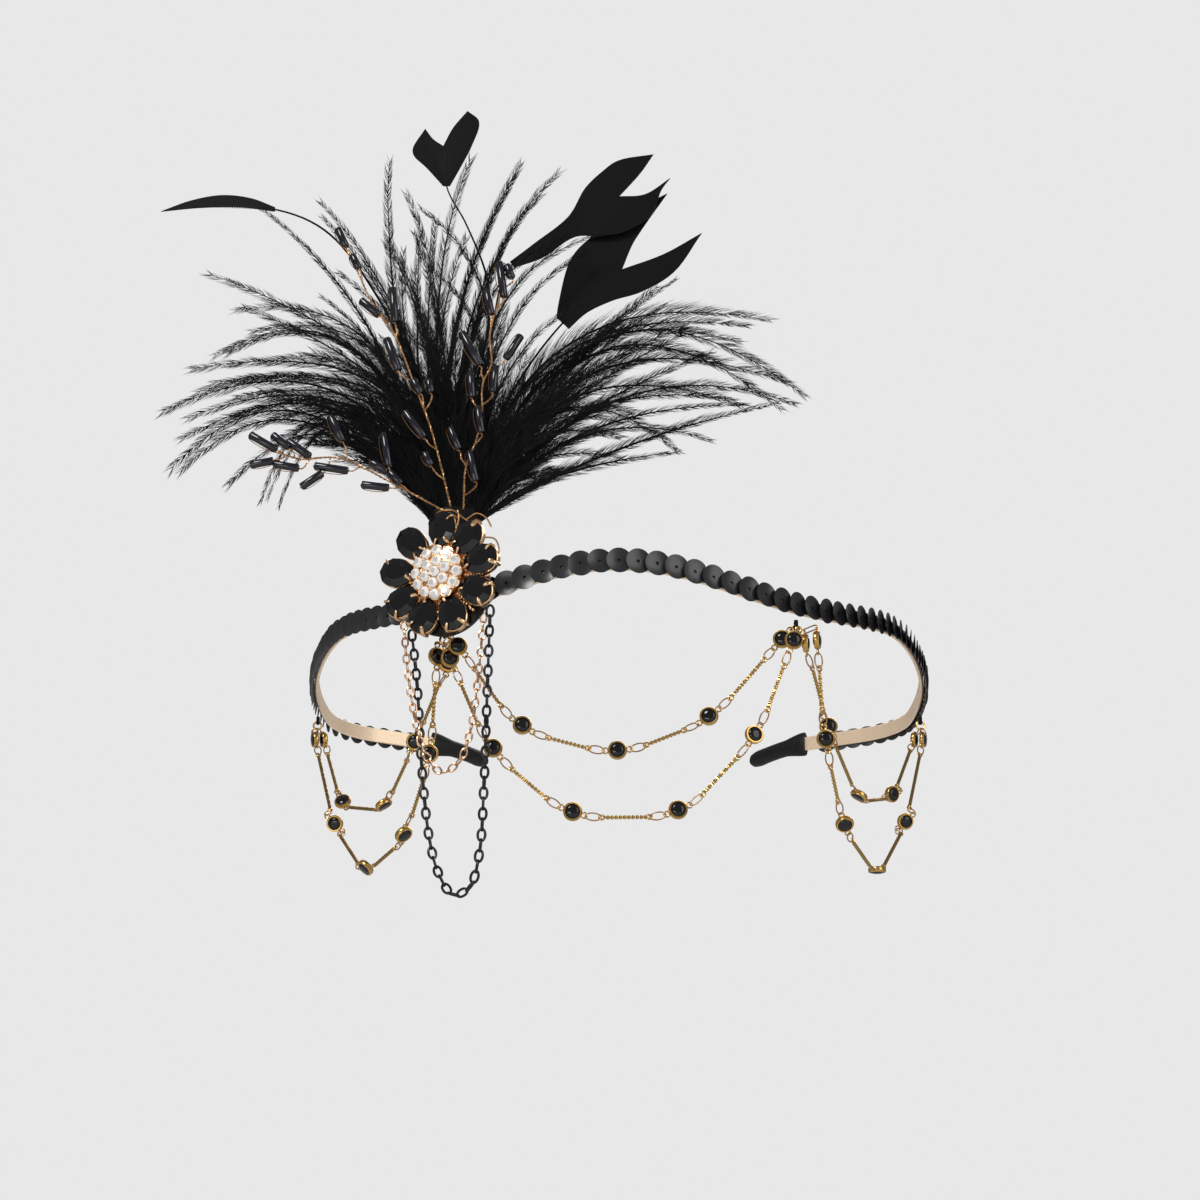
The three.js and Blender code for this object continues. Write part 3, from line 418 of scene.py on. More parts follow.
def turned_about(v, axis, degrees):
    axis = unit(axis)
    a = math.radians(degrees)
    return v * math.cos(a) + np.cross(axis, v) * math.sin(a) + axis * np.dot(axis, v) * (1 - math.cos(a))


def through(points, count):
    """A smooth line through the points, with an even number of steps between them."""
    p = [np.asarray(q, float) for q in points]
    p = [2 * p[0] - p[1]] + p + [2 * p[-1] - p[-2]]
    steps = max(2, math.ceil(count / (len(points) - 1)))
    out = []
    for i in range(1, len(p) - 2):
        before, start, end, after = p[i - 1: i + 3]
        d0 = max(1e-4, np.linalg.norm(start - before)) ** 0.5
        d1 = max(1e-4, np.linalg.norm(end - start)) ** 0.5
        d2 = max(1e-4, np.linalg.norm(after - end)) ** 0.5
        t1 = ((start - before) / d0 - (end - before) / (d0 + d1) + (end - start) / d1) * d1
        t2 = ((end - start) / d1 - (after - start) / (d1 + d2) + (after - end) / d2) * d1
        for k in range(steps):
            t = k / steps
            out.append(start + t1 * t + (-3 * start + 3 * end - 2 * t1 - t2) * t * t
                       + (2 * start - 2 * end + t1 + t2) * t ** 3)
    out.append(p[-2])
    return np.array(out)


class Line:
    """A row of points that can be asked for a place and a direction by length."""

    def __init__(self, points):
        self.points = np.asarray(points, float)
        steps = np.linalg.norm(np.diff(self.points, axis=0), axis=1)
        self.at = np.concatenate([[0], np.cumsum(steps)])
        self.length = self.at[-1]

    def place(self, run):
        return np.stack([np.interp(run, self.at, self.points[:, k]) for k in range(3)], axis=-1)

    def way(self, run):
        step = self.length / 400
        low = np.clip(np.asarray(run) - step, 0, self.length)
        high = np.clip(np.asarray(run) + step, 0, self.length)
        return unit(self.place(high) - self.place(low))

    def run_at(self, index_share):
        """The length at a share of the points' own count."""
        return float(np.interp(index_share * (len(self.points) - 1), np.arange(len(self.points)), self.at))


def strip_wave(run):
    away = np.abs(run)
    rise = CREST_RISE - (CREST_RISE + DIP_DROP) * (1 - np.cos(np.pi * away / DIP_AT)) / 2
    share = np.clip((away - DIP_AT) / (LEVEL_AT - DIP_AT), 0, 1)
    level = -DIP_DROP + DIP_DROP * (1 - np.cos(np.pi * share)) / 2
    return np.where(away < DIP_AT, rise, level)


MOUTH_RUN = sum(row["run"] for row in STRIP_PLAN) * HEAD_HALF_WIDTH


def station(run):
    """The strip's middle, its outward side and its way, at a run from the front centre."""
    side = -1 if run < 0 else 1
    x, y, heading, left = 0.0, -float(FRONT_REACH), 0.0, abs(run)
    for row in STRIP_PLAN:
        length = row["run"] * HEAD_HALF_WIDTH
        step = min(left, length)
        turn = math.radians(row["turn"]) * step / length
        chord = step * math.sin(turn / 2) / (turn / 2) if turn > 0 else step
        x += chord * math.cos(heading + turn / 2)
        y += chord * math.sin(heading + turn / 2)
        heading += turn
        left -= step
    x += left * math.cos(heading)
    y += left * math.sin(heading)
    place = vec(side * x, y, float(strip_wave(run)))
    out = vec(side * math.sin(heading), -math.cos(heading), 0)
    way = vec(math.cos(heading), side * math.sin(heading), 0)
    return place, out, way


# Mesh pieces

class Piece:
    """Gathers the faces of one piece."""

    def __init__(self):
        self.points, self.faces, self.looks, self.smooth = [], [], [], []
        self.total = 0

    def add(self, points, faces, look=0, smooth=True):
        points = np.asarray(points, float).reshape(-1, 3)
        faces = np.asarray(faces) + self.total if not isinstance(faces, list) else [
            tuple(self.total + i for i in face) for face in faces]
        self.points.append(points)
        self.faces.extend(faces.tolist() if not isinstance(faces, list) else faces)
        self.looks.extend([look] * len(faces))
        self.smooth.extend([smooth] * len(faces))
        self.total += len(points)

    def finish(self, name, looks, slot, replaced, turn=None, sharp=40):
        points = np.vstack(self.points)
        if turn is not None:
            points = np.array([tuple(turn @ Vector(p)) for p in points])
        mesh = bpy.data.meshes.new(name)
        mesh.from_pydata((points * MM).tolist(), [], self.faces)
        for look in looks:
            mesh.materials.append(look)
        mesh.polygons.foreach_set("material_index", self.looks)
        mesh.update()
        mesh.set_sharp_from_angle(angle=math.radians(sharp))
        mesh.polygons.foreach_set("use_smooth", self.smooth)
        obj = bpy.data.objects.new(name, mesh)
        bpy.context.scene.collection.objects.link(obj)
        for node in replaced:
            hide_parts(node)
        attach(obj, "root")
        return obj


def loft(piece, rings, look=0, smooth=True, hoop=False, caps=True):
    """Joins rings of equal size, each an array of points."""
    rings = np.asarray(rings, float)
    count, sides = rings.shape[:2]
    k = np.arange(sides)
    after = (k + 1) % sides
    faces = []
    for i in range(count if hoop else count - 1):
        low = i * sides
        high = ((i + 1) % count) * sides
        corners = np.stack([low + k, low + after, high + after, high + k], axis=1)
        faces.extend(map(tuple, corners.tolist()))
    if caps and not hoop:
        faces.append(tuple(reversed(range(sides))))
        faces.append(tuple(range((count - 1) * sides, count * sides)))
    piece.add(rings, faces, look, smooth)


def tube(piece, points, radius, sides=8, look=0, hoop=False, side=None, squash=1.0):
    points = np.asarray(points, float)
    way = unit(np.roll(points, -1, 0) - np.roll(points, 1, 0)) if hoop else unit(np.gradient(points, axis=0))
    normal = upright(way[0]) if side is None else unit(side)
    normals = []
    for w in way:
        normal = unit(normal - np.dot(normal, w) * w)
        normals.append(normal)
    normals = np.array(normals)
    other = np.cross(way, normals)
    angle = np.arange(sides) * 2 * np.pi / sides
    radius = np.broadcast_to(np.asarray(radius, float), len(points))[:, None, None]
    ring = normals[:, None] * np.cos(angle)[None, :, None]
    ring = ring + squash * other[:, None] * np.sin(angle)[None, :, None]
    loft(piece, points[:, None] + radius * ring, look, True, hoop)


def lathe(piece, profile, centre, axis, sides=24, look=0, smooth=True, hoop=False, start=0.0, level=None):
    """Turns a profile of (radius, height) about an axis through centre."""
    axis = unit(axis)
    u = upright(axis) if level is None else unit(level)
    v = np.cross(axis, u)
    angle = np.arange(sides) * 2 * np.pi / sides + math.radians(start)
    round_way = u * np.cos(angle)[:, None] + v * np.sin(angle)[:, None]
    rings = [np.asarray(centre) + axis * h + round_way * r for r, h in profile]
    loft(piece, rings, look, smooth, hoop)


def oval(piece, centre, along, across, long, wide, wire, look=0, sides=6, steps=20):
    """A closed oval link: long and wide are its outer sizes."""
    along, across = unit(along), unit(across)
    a = long / 2 - wire
    b = wide / 2 - wire
    t = np.arange(steps) * 2 * np.pi / steps
    reach = max(0.0, a - b)
    line = np.asarray(centre) + along * (np.sign(np.cos(t)) * reach + b * np.cos(t))[:, None]
    line = line + across * (b * np.sin(t))[:, None]
    tube(piece, line, wire, sides, look, True, np.cross(along, across))


def ellipse(piece, centre, along, across, long, wide, wire, look=0):
    """A closed elliptical link: long and wide are its outer sizes."""
    t = np.arange(24) * 2 * np.pi / 24
    line = np.asarray(centre) + along * ((long / 2 - wire) * np.cos(t))[:, None]
    line = line + across * ((wide / 2 - wire) * np.sin(t))[:, None]
    tube(piece, line, wire, 8, look, True, np.cross(along, across))


def twisted(piece, line, wire, gap, pitch, sides=4, look=0):
    """Two wires twisted round a line."""
    steps = max(6, int(line.length / pitch * 8))
    run = np.linspace(0, line.length, steps)
    place, way = line.place(run), line.way(run)
    first = np.array([upright(w) for w in way])
    second = np.cross(way, first)
    for turn in (0, np.pi):
        angle = run / pitch * 2 * np.pi + turn
        points = place + gap * (first * np.cos(angle)[:, None] + second * np.sin(angle)[:, None])
        tube(piece, points, wire, sides, look)


# Materials

def look(name, color, roughness, metallic=0.0, **more):
    material = bpy.data.materials.new(name)
    material.use_nodes = True
    shader = material.node_tree.nodes["Principled BSDF"]
    shader.inputs["Base Color"].default_value = (*color, 1)
    shader.inputs["Roughness"].default_value = roughness
    shader.inputs["Metallic"].default_value = metallic
    for key, value in more.items():
        shader.inputs[key.replace("_", " ")].default_value = value
    return material


PALE_GOLD = look("pale_gold_metal", (0.86, 0.56, 0.32), 0.24, 1.0)
STRIP_GOLD = look("pale_gold_strip", (1.0, 0.77, 0.54), 0.32, 0.25)
YELLOW_GOLD = look("yellow_gold_metal", (0.62, 0.38, 0.12), 0.22, 1.0)
ROSE_GOLD = look("rose_gold_metal", (0.66, 0.4, 0.24), 0.25, 1.0)
LINK_GOLD = look("brownish_gold_links", (0.42, 0.26, 0.15), 0.28, 1.0)
COPPER = look("copper_wire", (0.5, 0.28, 0.13), 0.35, 1.0)
BLACK_METAL = look("black_metal_links", (0.006, 0.006, 0.007), 0.3, Specular_IOR_Level=0.4)
BLACK_SEQUIN = look("black_sequin_film", (0.011, 0.011, 0.013), 0.3, Specular_IOR_Level=0.7)
BLACK_RUBBER = look("black_rubber_tip", (0.006, 0.006, 0.006), 0.5, Specular_IOR_Level=0.3)
BLACK_LEATHER = look("black_backing", (0.004, 0.004, 0.004), 0.35, Specular_IOR_Level=0.35)
BLACK_STONE = look("black_faceted_stone", (0.003, 0.003, 0.004), 0.06, Specular_IOR_Level=0.5)
# Clear stones: the near-white base colour is painted sparkle for the light the foil sends back, and the
# tables' duller grey-brown is a painted reflection; the glass itself is clear
CRYSTAL_PAINTED_SPARKLE = look("clear_foiled_stone_painted_sparkle", (1.0, 0.99, 0.98), 0.08, 0.15)
CRYSTAL_TABLE_PAINTED_REFLECTION = look("clear_stone_table_painted_reflection", (0.82, 0.77, 0.73), 0.06, 0.45)
FEATHER = look("black_barbs", (0.003, 0.003, 0.0035), 0.5, Specular_IOR_Level=0.15)
FEATHER_BLADE = look("black_vane", (0.0025, 0.0025, 0.003), 0.55, Specular_IOR_Level=0.12)
BUGLE = look("black_bugle_glass", (0.006, 0.006, 0.012), 0.15, Specular_IOR_Level=0.6)
THREAD = look("black_sewing_thread", (0.004, 0.004, 0.004), 0.7, Specular_IOR_Level=0.2)

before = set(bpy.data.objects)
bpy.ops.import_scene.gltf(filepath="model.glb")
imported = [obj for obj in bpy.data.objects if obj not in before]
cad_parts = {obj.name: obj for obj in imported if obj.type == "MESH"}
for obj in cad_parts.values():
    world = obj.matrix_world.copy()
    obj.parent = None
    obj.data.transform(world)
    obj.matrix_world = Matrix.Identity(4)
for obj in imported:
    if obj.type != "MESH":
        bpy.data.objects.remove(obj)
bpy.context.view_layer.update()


# Strip, sequins and tips

def make_strip():
    piece = Piece()
    runs = np.linspace(-MOUTH_RUN - TIP_GRIP, MOUTH_RUN + TIP_GRIP, 361)
    half, tall, edge = STRIP_THICKNESS / 2, STRIP_HEIGHT / 2, 0.18
    corners = [(-half, -tall + edge), (-half + edge, -tall), (half - edge, -tall), (half, -tall + edge),
               (half, tall - edge), (half - edge, tall), (-half + edge, tall), (-half, tall - edge)]
    rings = []
    for run in runs:
        place, out, _ = station(run)
        rings.append([place + out * a + vec(0, 0, b) for a, b in corners])
    loft(piece, rings)
    piece.finish("strip_metal", [STRIP_GOLD], "pale_gold", ["band_strip"])


def make_sequins():
    piece = Piece()
    count = int((MOUTH_RUN - 0.3) / SEQUIN_PITCH - 0.5)
    for i in range(-count, count + 1):
        place, out, way = station(i * SEQUIN_PITCH)
        tilt = math.radians(SEQUIN_TILT + RNG.normal(0, 1.2))
        axis = out * math.cos(tilt) + way * math.sin(tilt)
        axis = turned_about(axis, way, RNG.normal(0, 2.5))
        centre = place + out * SEQUIN_OFFSET
        skin = 0.05
        rings = [(SEQUIN_HOLE, skin), (SEQUIN_HOLE * 2.4, skin), (SEQUIN_RADIUS * 0.7, SEQUIN_CUP * 0.45),
                 (SEQUIN_RADIUS, SEQUIN_CUP), (SEQUIN_RADIUS, SEQUIN_CUP - 2 * skin),
                 (SEQUIN_RADIUS * 0.7, SEQUIN_CUP * 0.45 - 2 * skin), (SEQUIN_HOLE * 2.4, -skin),
                 (SEQUIN_HOLE, -skin)]
        lathe(piece, rings, centre, axis, 28, 0, True, True)
    reach = count * SEQUIN_PITCH
    rings = []
    for run in np.linspace(-reach, reach, 260):
        place, out, _ = station(run)
        rings.append([place + out * a + vec(0, 0, b) for a, b in
                      ((0.5, -1.6), (0.72, -1.6), (0.72, 1.6), (0.5, 1.6))])
    loft(piece, rings)
    piece.finish("sequin_row", [BLACK_SEQUIN], "black_sequin", ["sequins"], sharp=30)


def make_tip(side, name):
    piece = Piece()
    place, _, way = station(side * MOUTH_RUN)
    way = way * side
    bend = place + way * TIP_LENGTH / 3
    flared = turned_about(way, vec(0, 0, 1), -side * TIP_FLARE)
    end = bend + flared * TIP_LENGTH * 2 / 3 - vec(0, 0, TIP_DROOP)
    spots = np.array([row["at"] for row in TIP_SECTIONS])
    tall = np.array([row["tall"] for row in TIP_SECTIONS])
    thick = np.array([row["thick"] for row in TIP_SECTIONS])
    rings = []
    angle = np.arange(28) * 2 * np.pi / 28
    for t in np.concatenate([np.linspace(0, 0.9, 28), np.linspace(0.915, 1, 9)]):
        centre = (1 - t) ** 2 * place + 2 * t * (1 - t) * bend + t * t * end
        heading = unit((1 - t) * (bend - place) + t * (end - bend))
        across = unit(np.cross(heading, (0, 0, 1)))
        a = TIP_MOUTH / 2 * np.interp(t, spots, thick)
        b = TIP_MOUTH / 2 * np.interp(t, spots, tall)
        sideways = across * (a * np.cos(angle))[:, None]
        rings.append(centre + sideways + vec(0, 0, 1) * (b * np.sin(angle))[:, None])
    loft(piece, rings)
    piece.finish(f"rubber_{name}", [BLACK_RUBBER], "black_rubber", [name], sharp=60)


# Flower, in its own frame

ORNAMENT = (Matrix.Translation(Vector(DISC_PLACE)) @ Matrix.Rotation(math.radians(DISC_YAW), 4, "Z")
            @ Matrix.Rotation(math.radians(90 + DISC_PITCH), 4, "X"))
FLOWER = ORNAMENT @ Matrix.Translation((FLOWER_SHIFT, FLOWER_RAISE, DISC_THICKNESS / 2))


def petal_edge(angle, grow):
    wide = (PETAL_WIDTH / 2) * (1 + PETAL_SWELL * math.cos(angle)) + grow
    long = PETAL_LENGTH / 2 + grow
    return wide * math.sin(angle), long * math.cos(angle)


def petal_matrix(row):
    turn = math.radians(-row["angle"])
    ring = PETAL_RING * row["reach"]
    lift = (PETAL_LENGTH / 2 + SETTING_RIM) * math.sin(math.radians(abs(row["tilt"])))
    return (Matrix.Translation((-ring * math.sin(turn), ring * math.cos(turn), STONE_SEAT + lift))
            @ Matrix.Rotation(turn, 4, "Z") @ Matrix.Rotation(math.radians(row["tilt"]), 4, "X"))


def petal_ring(grow, height, sides=14, shift=0.0):
    return [vec(*petal_edge(2 * math.pi * (k + shift) / sides, grow), height) for k in range(sides)]


def make_petals():
    for i, row in enumerate(PETALS):
        piece = Piece()
        levels = [(-0.4, -0.3, 0), (0.72, 1.1, 0), (0.76, 1.4, 0), (-0.9, 2.05, 0)]
        loft(piece, [petal_ring(grow, height, 10, shift) for grow, height, shift in levels], 0, False)
        piece.finish(f"petal_glass_{i + 1}", [BLACK_STONE], "black_stone", [f"petal_stone_{i + 1}"],
                     FLOWER @ petal_matrix(row))


def put(matrix, points):
    return np.array([tuple(matrix @ Vector(p)) for p in np.asarray(points).reshape(-1, 3)])


def make_setting():
    piece = Piece()
    lathe(piece, [(1, 0.35), (HUB_RADIUS, 0.35), (HUB_RADIUS, 1.05), (1, 1.05)], (0, 0, 0), (0, 0, 1), 48)
    for row in PETALS:
        turn = petal_matrix(row)
        walls = [(0.5, -1.05), (0.72, -0.7), (0.84, 0.75), (0.66, 0.95), (0.4, 0.2)]
        rings = np.array([put(turn, petal_ring(grow, height, 28)) for grow, height in walls])
        loft(piece, rings)
    for claw in CLAWS:
        turn = petal_matrix(PETALS[claw["petal"] - 1])
        angle = math.radians(claw["at"])
        path = [(0.85, -0.6), (1.0, 0.4), (0.98, 1.3), (0.6, 1.85), (0.0, 2.15), (-0.7, 2.3)]
        spots = put(turn, [vec(*petal_edge(angle, grow), height) for grow, height in path])
        line = through(spots, 14)
        size = claw["radius"] * np.interp(np.linspace(0, 1, len(line)), [0, 0.7, 0.93, 1], [0.8, 1, 1, 0.55])
        tube(piece, line, size, 8)
    for row in BEAD_ROWS:
        for reach in np.arange(row["start"], row["end"], 0.75):
            a = math.radians(row["angle"] + RNG.normal(0, 1.2))
            spot = vec(reach * math.sin(a), reach * math.cos(a), 2.0 + RNG.normal(0, 0.15))
            lathe(piece, [(0.05, -0.36), (0.3, -0.22), (0.38, 0), (0.3, 0.22),
                          (0.05, 0.36)], spot, (0, 0, 1), 8)
    for arc in WIRE_ARCS:
        tube(piece, through([vec(*p) for p in arc], 20), 0.2, 6, 1)
    piece.finish("flower_gold", [PALE_GOLD, COPPER], "pale_gold", ["flower_setting"], FLOWER)


def make_cluster():
    piece = Piece()
    base = STONE_SEAT
    lathe(piece, [(1, 0), (CLUSTER_RADIUS * 0.9, 0), (CLUSTER_RADIUS, 0.6),
                  (CLUSTER_RADIUS, CLUSTER_HEIGHT - 0.2),
                  (CLUSTER_RADIUS * 0.93, CLUSTER_HEIGHT), (CLUSTER_RADIUS * 0.4, CLUSTER_HEIGHT + 0.5)],
          (0, 0, base), (0, 0, 1), 40, 1)
    for row in CRYSTAL_RINGS:
        for k in range(row["count"]):
            angle = 2 * math.pi * k / row["count"] + math.radians(row["start"])
            away = row["ring"] * CLUSTER_RADIUS
            lean = vec(math.sin(angle) * 0.28 * row["ring"], math.cos(angle) * 0.28 * row["ring"], 1)
            top = base + CLUSTER_HEIGHT + row["rise"] * CRYSTAL_HEIGHT
            spot = vec(away * math.sin(angle), away * math.cos(angle), top)
            turn = RNG.uniform(0, 40)
            lathe(piece, [(0.5, -0.9), (CRYSTAL_RADIUS + 0.12, 0), (CRYSTAL_RADIUS + 0.14, 0.28),
                          (CRYSTAL_RADIUS - 0.1, 0.28)], spot, lean, 14, 1)
            r, h = CRYSTAL_RADIUS, CRYSTAL_HEIGHT
            # Crown facets in near-white: painted sparkle of the foil
            lathe(piece, [(r * 0.92, 0.2), (r * 0.96, 0.3), (r * 0.84, 0.6 * h)], spot, lean, 8, 0, False,
                  start=turn)
            lathe(piece, [(r * 0.88, 0.55 * h), (r * 0.5, h)], spot, lean, 8, 0, False, start=turn + 22.5)
            # Table in a duller grey-brown: painted reflection
            lathe(piece, [(r * 0.52, h - 0.04), (r * 0.46, h + 0.05)], spot, lean, 6, 2, False, start=turn)
            for claw in range(4):
                a = math.radians(claw * 90 + turn)
                foot = spot + vec(math.cos(a), math.sin(a), 0) * (r + 0.02) + vec(0, 0, 0.55)
                lathe(piece, [(0.05, -0.3), (0.26, -0.15), (0.28, 0.05), (0.18, 0.24), (0.04, 0.3)], foot,
                      (0, 0, 1), 6, 1)
    piece.finish("cluster_stones", [CRYSTAL_PAINTED_SPARKLE, PALE_GOLD, CRYSTAL_TABLE_PAINTED_REFLECTION], "clear_stone", ["stone_cluster"],
                 FLOWER, 30)


def make_disc():
    piece = Piece()
    half, edge = DISC_THICKNESS / 2, 0.25
    lathe(piece, [(DISC_RADIUS - edge, -half), (DISC_RADIUS, -half + edge), (DISC_RADIUS, half - edge),
                  (DISC_RADIUS - edge, half)], (0, 0, 0), (0, 0, 1), 72)
    piece.finish("backing_round", [BLACK_LEATHER], "black_leather", ["backing_disc"], ORNAMENT)


# Plume

def feather_line(row):
    aim = math.radians(row["aim"])
    along = vec(math.sin(aim), 0, math.cos(aim))
    across = vec(along[2], 0, -along[0])
    root = vec(*PLUME_ROOT)
    middle = root + along * row["peak"] * row["reach"] + across * row["bow"] * row["reach"]
    tip = root + along * row["reach"] + vec(0, row["back"], 0)
    start = root + vec(HEAD_HALF_LENGTH * ROOT_SPREAD * math.sin(aim), row["back"] * 0.15, 0)
    t = np.linspace(0, 1, 60)[:, None]
    line = (1 - t) ** 2 * start + 2 * t * (1 - t) * middle + t * t * tip
    sway = wander(60, 4) * 0.005 * row["reach"] * t[:, 0] * (1.4 - t[:, 0])
    return Line(line + across * sway[:, None])


def wander(count, bends):
    """Smooth random values about zero along a line."""
    return np.interp(np.linspace(0, bends, count), np.arange(bends + 1), RNG.normal(0, 1, bends + 1))


def add_feather(piece, row, spacing):
    """A quill with thin barbs on both sides, swept towards its tip."""
    line = feather_line(row)
    steps = 22
    run = np.linspace(0, line.length, steps)
    thins = [QUILL_BASE, QUILL_BASE * 0.75, 0.12, 0.05]
    quill = np.interp(np.linspace(0, 1, steps), [0, 0.5, 0.85, 1], thins)
    tube(piece, line.place(run), quill, 4)
    for side, reach in ((-1, row["left"]), (1, row["right"])):
        count = int(line.length * (1 - BARE_SHARE) / spacing)
        u = np.sort(RNG.uniform(0, 1, count))
        run = line.length * (BARE_SHARE + (1 - BARE_SHARE) * u)
        place, way = line.place(run), line.way(run)
        across = unit(np.stack([way[:, 2], 0 * u, -way[:, 0]], axis=1)) * side
        taper = RIGHT_TAPER if row["aim"] > SIDE_AIM else USUAL_TAPER
        swell = np.minimum(1, u / 0.12 + 0.4) * (1 - taper * u ** 2)
        clump = np.interp(u, np.linspace(0, 1, 26), RNG.normal(0, 1, 26))
        long = reach * BARB_STRETCH * swell * RNG.uniform(0.84, 1.05, count) * (1 + 0.06 * clump)
        lean = np.radians(BARB_LEAN) * RNG.uniform(0.9, 1.1, count) * (1 + 0.06 * clump)
        depth = RNG.normal(0, 0.15, count)
        points = [place]
        for share, turn in ((0.45, 1.2), (0.55, 0.65)):
            heading = way * np.cos(lean * turn)[:, None] + across * np.sin(lean * turn)[:, None]
            heading[:, 1] += depth
            points.append(points[-1] + heading * (long * share)[:, None])
        flat = unit(np.stack([way[:, 2], 0 * u, -way[:, 0]], axis=1))
        roll = RNG.uniform(-0.9, 0.9, count)[:, None]
        half = BARB_WIDTH / 2 * (flat * np.cos(roll) + vec(0, 1, 0) * np.sin(roll))
        near, bend, far = points
        corners = [near - half, near + half, bend + half * 0.9, bend - half * 0.9, far]
        base = np.arange(count)[:, None] * 5
        first = piece.total
        piece.add(np.stack(corners, axis=1), (base + np.arange(4)).tolist(), 0, False)
        piece.faces.extend((first + base + np.array([3, 2, 4])).tolist())
        piece.looks.extend([0] * count)
        piece.smooth.extend([False] * count)


def sibling(row, spread, short, full=1.0):
    """A feather of the same clump, a little to the side of the first."""
    return {
        "reach": row["reach"] * RNG.uniform(short, full),
        "aim": row["aim"] + RNG.normal(0, spread),
        "peak": row["peak"],
        "bow": row["bow"] * RNG.uniform(0.94, 1.05),
        "back": row["back"] + RNG.uniform(-3, 3),
        "left": row["left"] * 0.9,
        "right": row["right"] * 0.9,
    }


def make_plume():
    left, middle, right = Piece(), Piece(), Piece()
    rings = []
    angle = np.arange(24) * 2 * np.pi / 24
    for row in HEAD_RINGS:
        ring = np.stack([HEAD_HALF_LENGTH * row["wide"] * np.cos(angle),
                         HEAD_DEPTH / 2 * row["deep"] * np.sin(angle), np.full(24, row["at"])], axis=1)
        rings.append(vec(*PLUME_ROOT) + ring)
    loft(middle, rings)
    on_right = [row for row in FEATHERS if row["aim"] > SIDE_AIM]
    rows = list(FEATHERS)
    rows += [sibling(row, 0.8, 0.85) for row in FEATHERS if row["aim"] < -SIDE_AIM]
    rows += [sibling(row, 1.4, 0.75) for row in FEATHERS[::2] if row["aim"] < -SIDE_AIM]
    rows += [sibling(row, 1.2, 0.5, 0.75) for row in on_right if row["left"] > LONG_BARBS]
    rows += [sibling(row, 0.8, 0.8, 0.95) for row in on_right if row["left"] >= LONGEST_BARBS]
    rows += [sibling(row, 2, 0.7) for row in FEATHERS if abs(row["aim"]) < SIDE_AIM]
    for _ in range(DOWN_COUNT):
        aim = RNG.uniform(-66, 60)
        bow = (0.32 if aim < -15 else -0.26 if aim > 20 else 0.0) * RNG.uniform(0.6, 1.2)
        longest = DOWN_LONGEST_RIGHT if aim > 25 else DOWN_LONGEST
        reach = RNG.uniform(DOWN_SHORTEST, longest) * (1 - 0.15 * abs(aim) / 70)
        rows.append({"reach": reach, "aim": aim, "peak": 0.5,
                     "bow": bow, "back": RNG.uniform(-4, 9), "left": RNG.uniform(5, 8),
                     "right": RNG.uniform(5, 8)})
    for row in rows:
        piece = left if row["aim"] < -PIECE_AIM else right if row["aim"] > PIECE_AIM else middle
        add_feather(piece, row, BARB_SPACING)
    for name, piece in (("left", left), ("middle", middle), ("right", right)):
        piece.finish(f"plume_{name}", [FEATHER], "black_feather", ["plume"])


def smooth_outline(points, corners, length):
    """The outline as a smooth line that stays sharp at the corners."""
    spots = [vec(across * length, 0, along * length) for along, across in points]
    out = []
    stops = sorted({*corners, len(points) - 1})
    for first, last in zip(stops[:-1], stops[1:]):
        stretch = spots[first: last + 1]
        curve = stretch if len(stretch) < 3 else list(through(stretch, 6 * (len(stretch) - 1)))
        out.extend(curve[:-1])
    out.append(spots[-1])
    return np.array(out)


def make_cut_feather(row):
    piece = Piece()
    route = [vec(*PLUME_ROOT) + vec(*p) for p in row["quill"]]
    base = route[-1]
    aim = math.radians(row["aim"])
    along = vec(math.sin(aim), 0, math.cos(aim))
    across = vec(along[2], 0, -along[0])
    edge = smooth_outline(row["blade"], row["corners"], row["length"])
    flat = base + across * edge[:, :1] + along * edge[:, 2:]
    half = BLADE_THICKNESS / 2
    loft(piece, [flat - vec(0, half, 0), flat + vec(0, half, 0)], 0, False)
    tip = base + along * row["length"] * row["notch"]
    line = Line(through(route + [tip], 60))
    run = np.linspace(0, line.length, 60)
    tube(piece, line.place(run) - vec(0, 0.05, 0), np.linspace(0.5, 0.16, 60), 8)
    for side in (-1, 1):
        for share in np.arange(0.04, row["notch"], 0.022):
            start = base + along * row["length"] * share
            angle = math.radians(24) * side
            heading = along * math.cos(angle) + across * math.sin(angle)
            reach = reach_inside(edge, share * row["length"], side, angle)
            end = start + heading * reach
            lift = vec(0, -half - 0.02, 0)
            wide = across * 0.1
            low, high, fine = start + lift, end + lift, wide * 0.4
            piece.add([low - wide, low + wide, high + fine, high - fine], [(0, 1, 2, 3)], 1, False)
    piece.finish(f"{row['name']}_vane", [FEATHER_BLADE, FEATHER], "black_feather", [row["name"]])


def reach_inside(edge, up, side, angle):
    """How far a line from the blade's middle, at height up, stays within its outline."""
    step = 0.25
    reach = 0.0
    xs, zs = edge[:, 0], edge[:, 2]
    while reach < 60:
        x = reach * math.sin(angle)
        z = up + reach * math.cos(angle)
        x2, z2 = np.roll(xs, -1), np.roll(zs, -1)
        hits = ((zs > z) != (z2 > z)) & (x < (x2 - xs) * (z - zs) / np.where(z2 == zs, 1e-9, z2 - zs) + xs)
        if reach > 0.5 and np.count_nonzero(hits) % 2 == 0:
            break
        reach += step
    return max(0.3, reach - step)


# Bead sprays

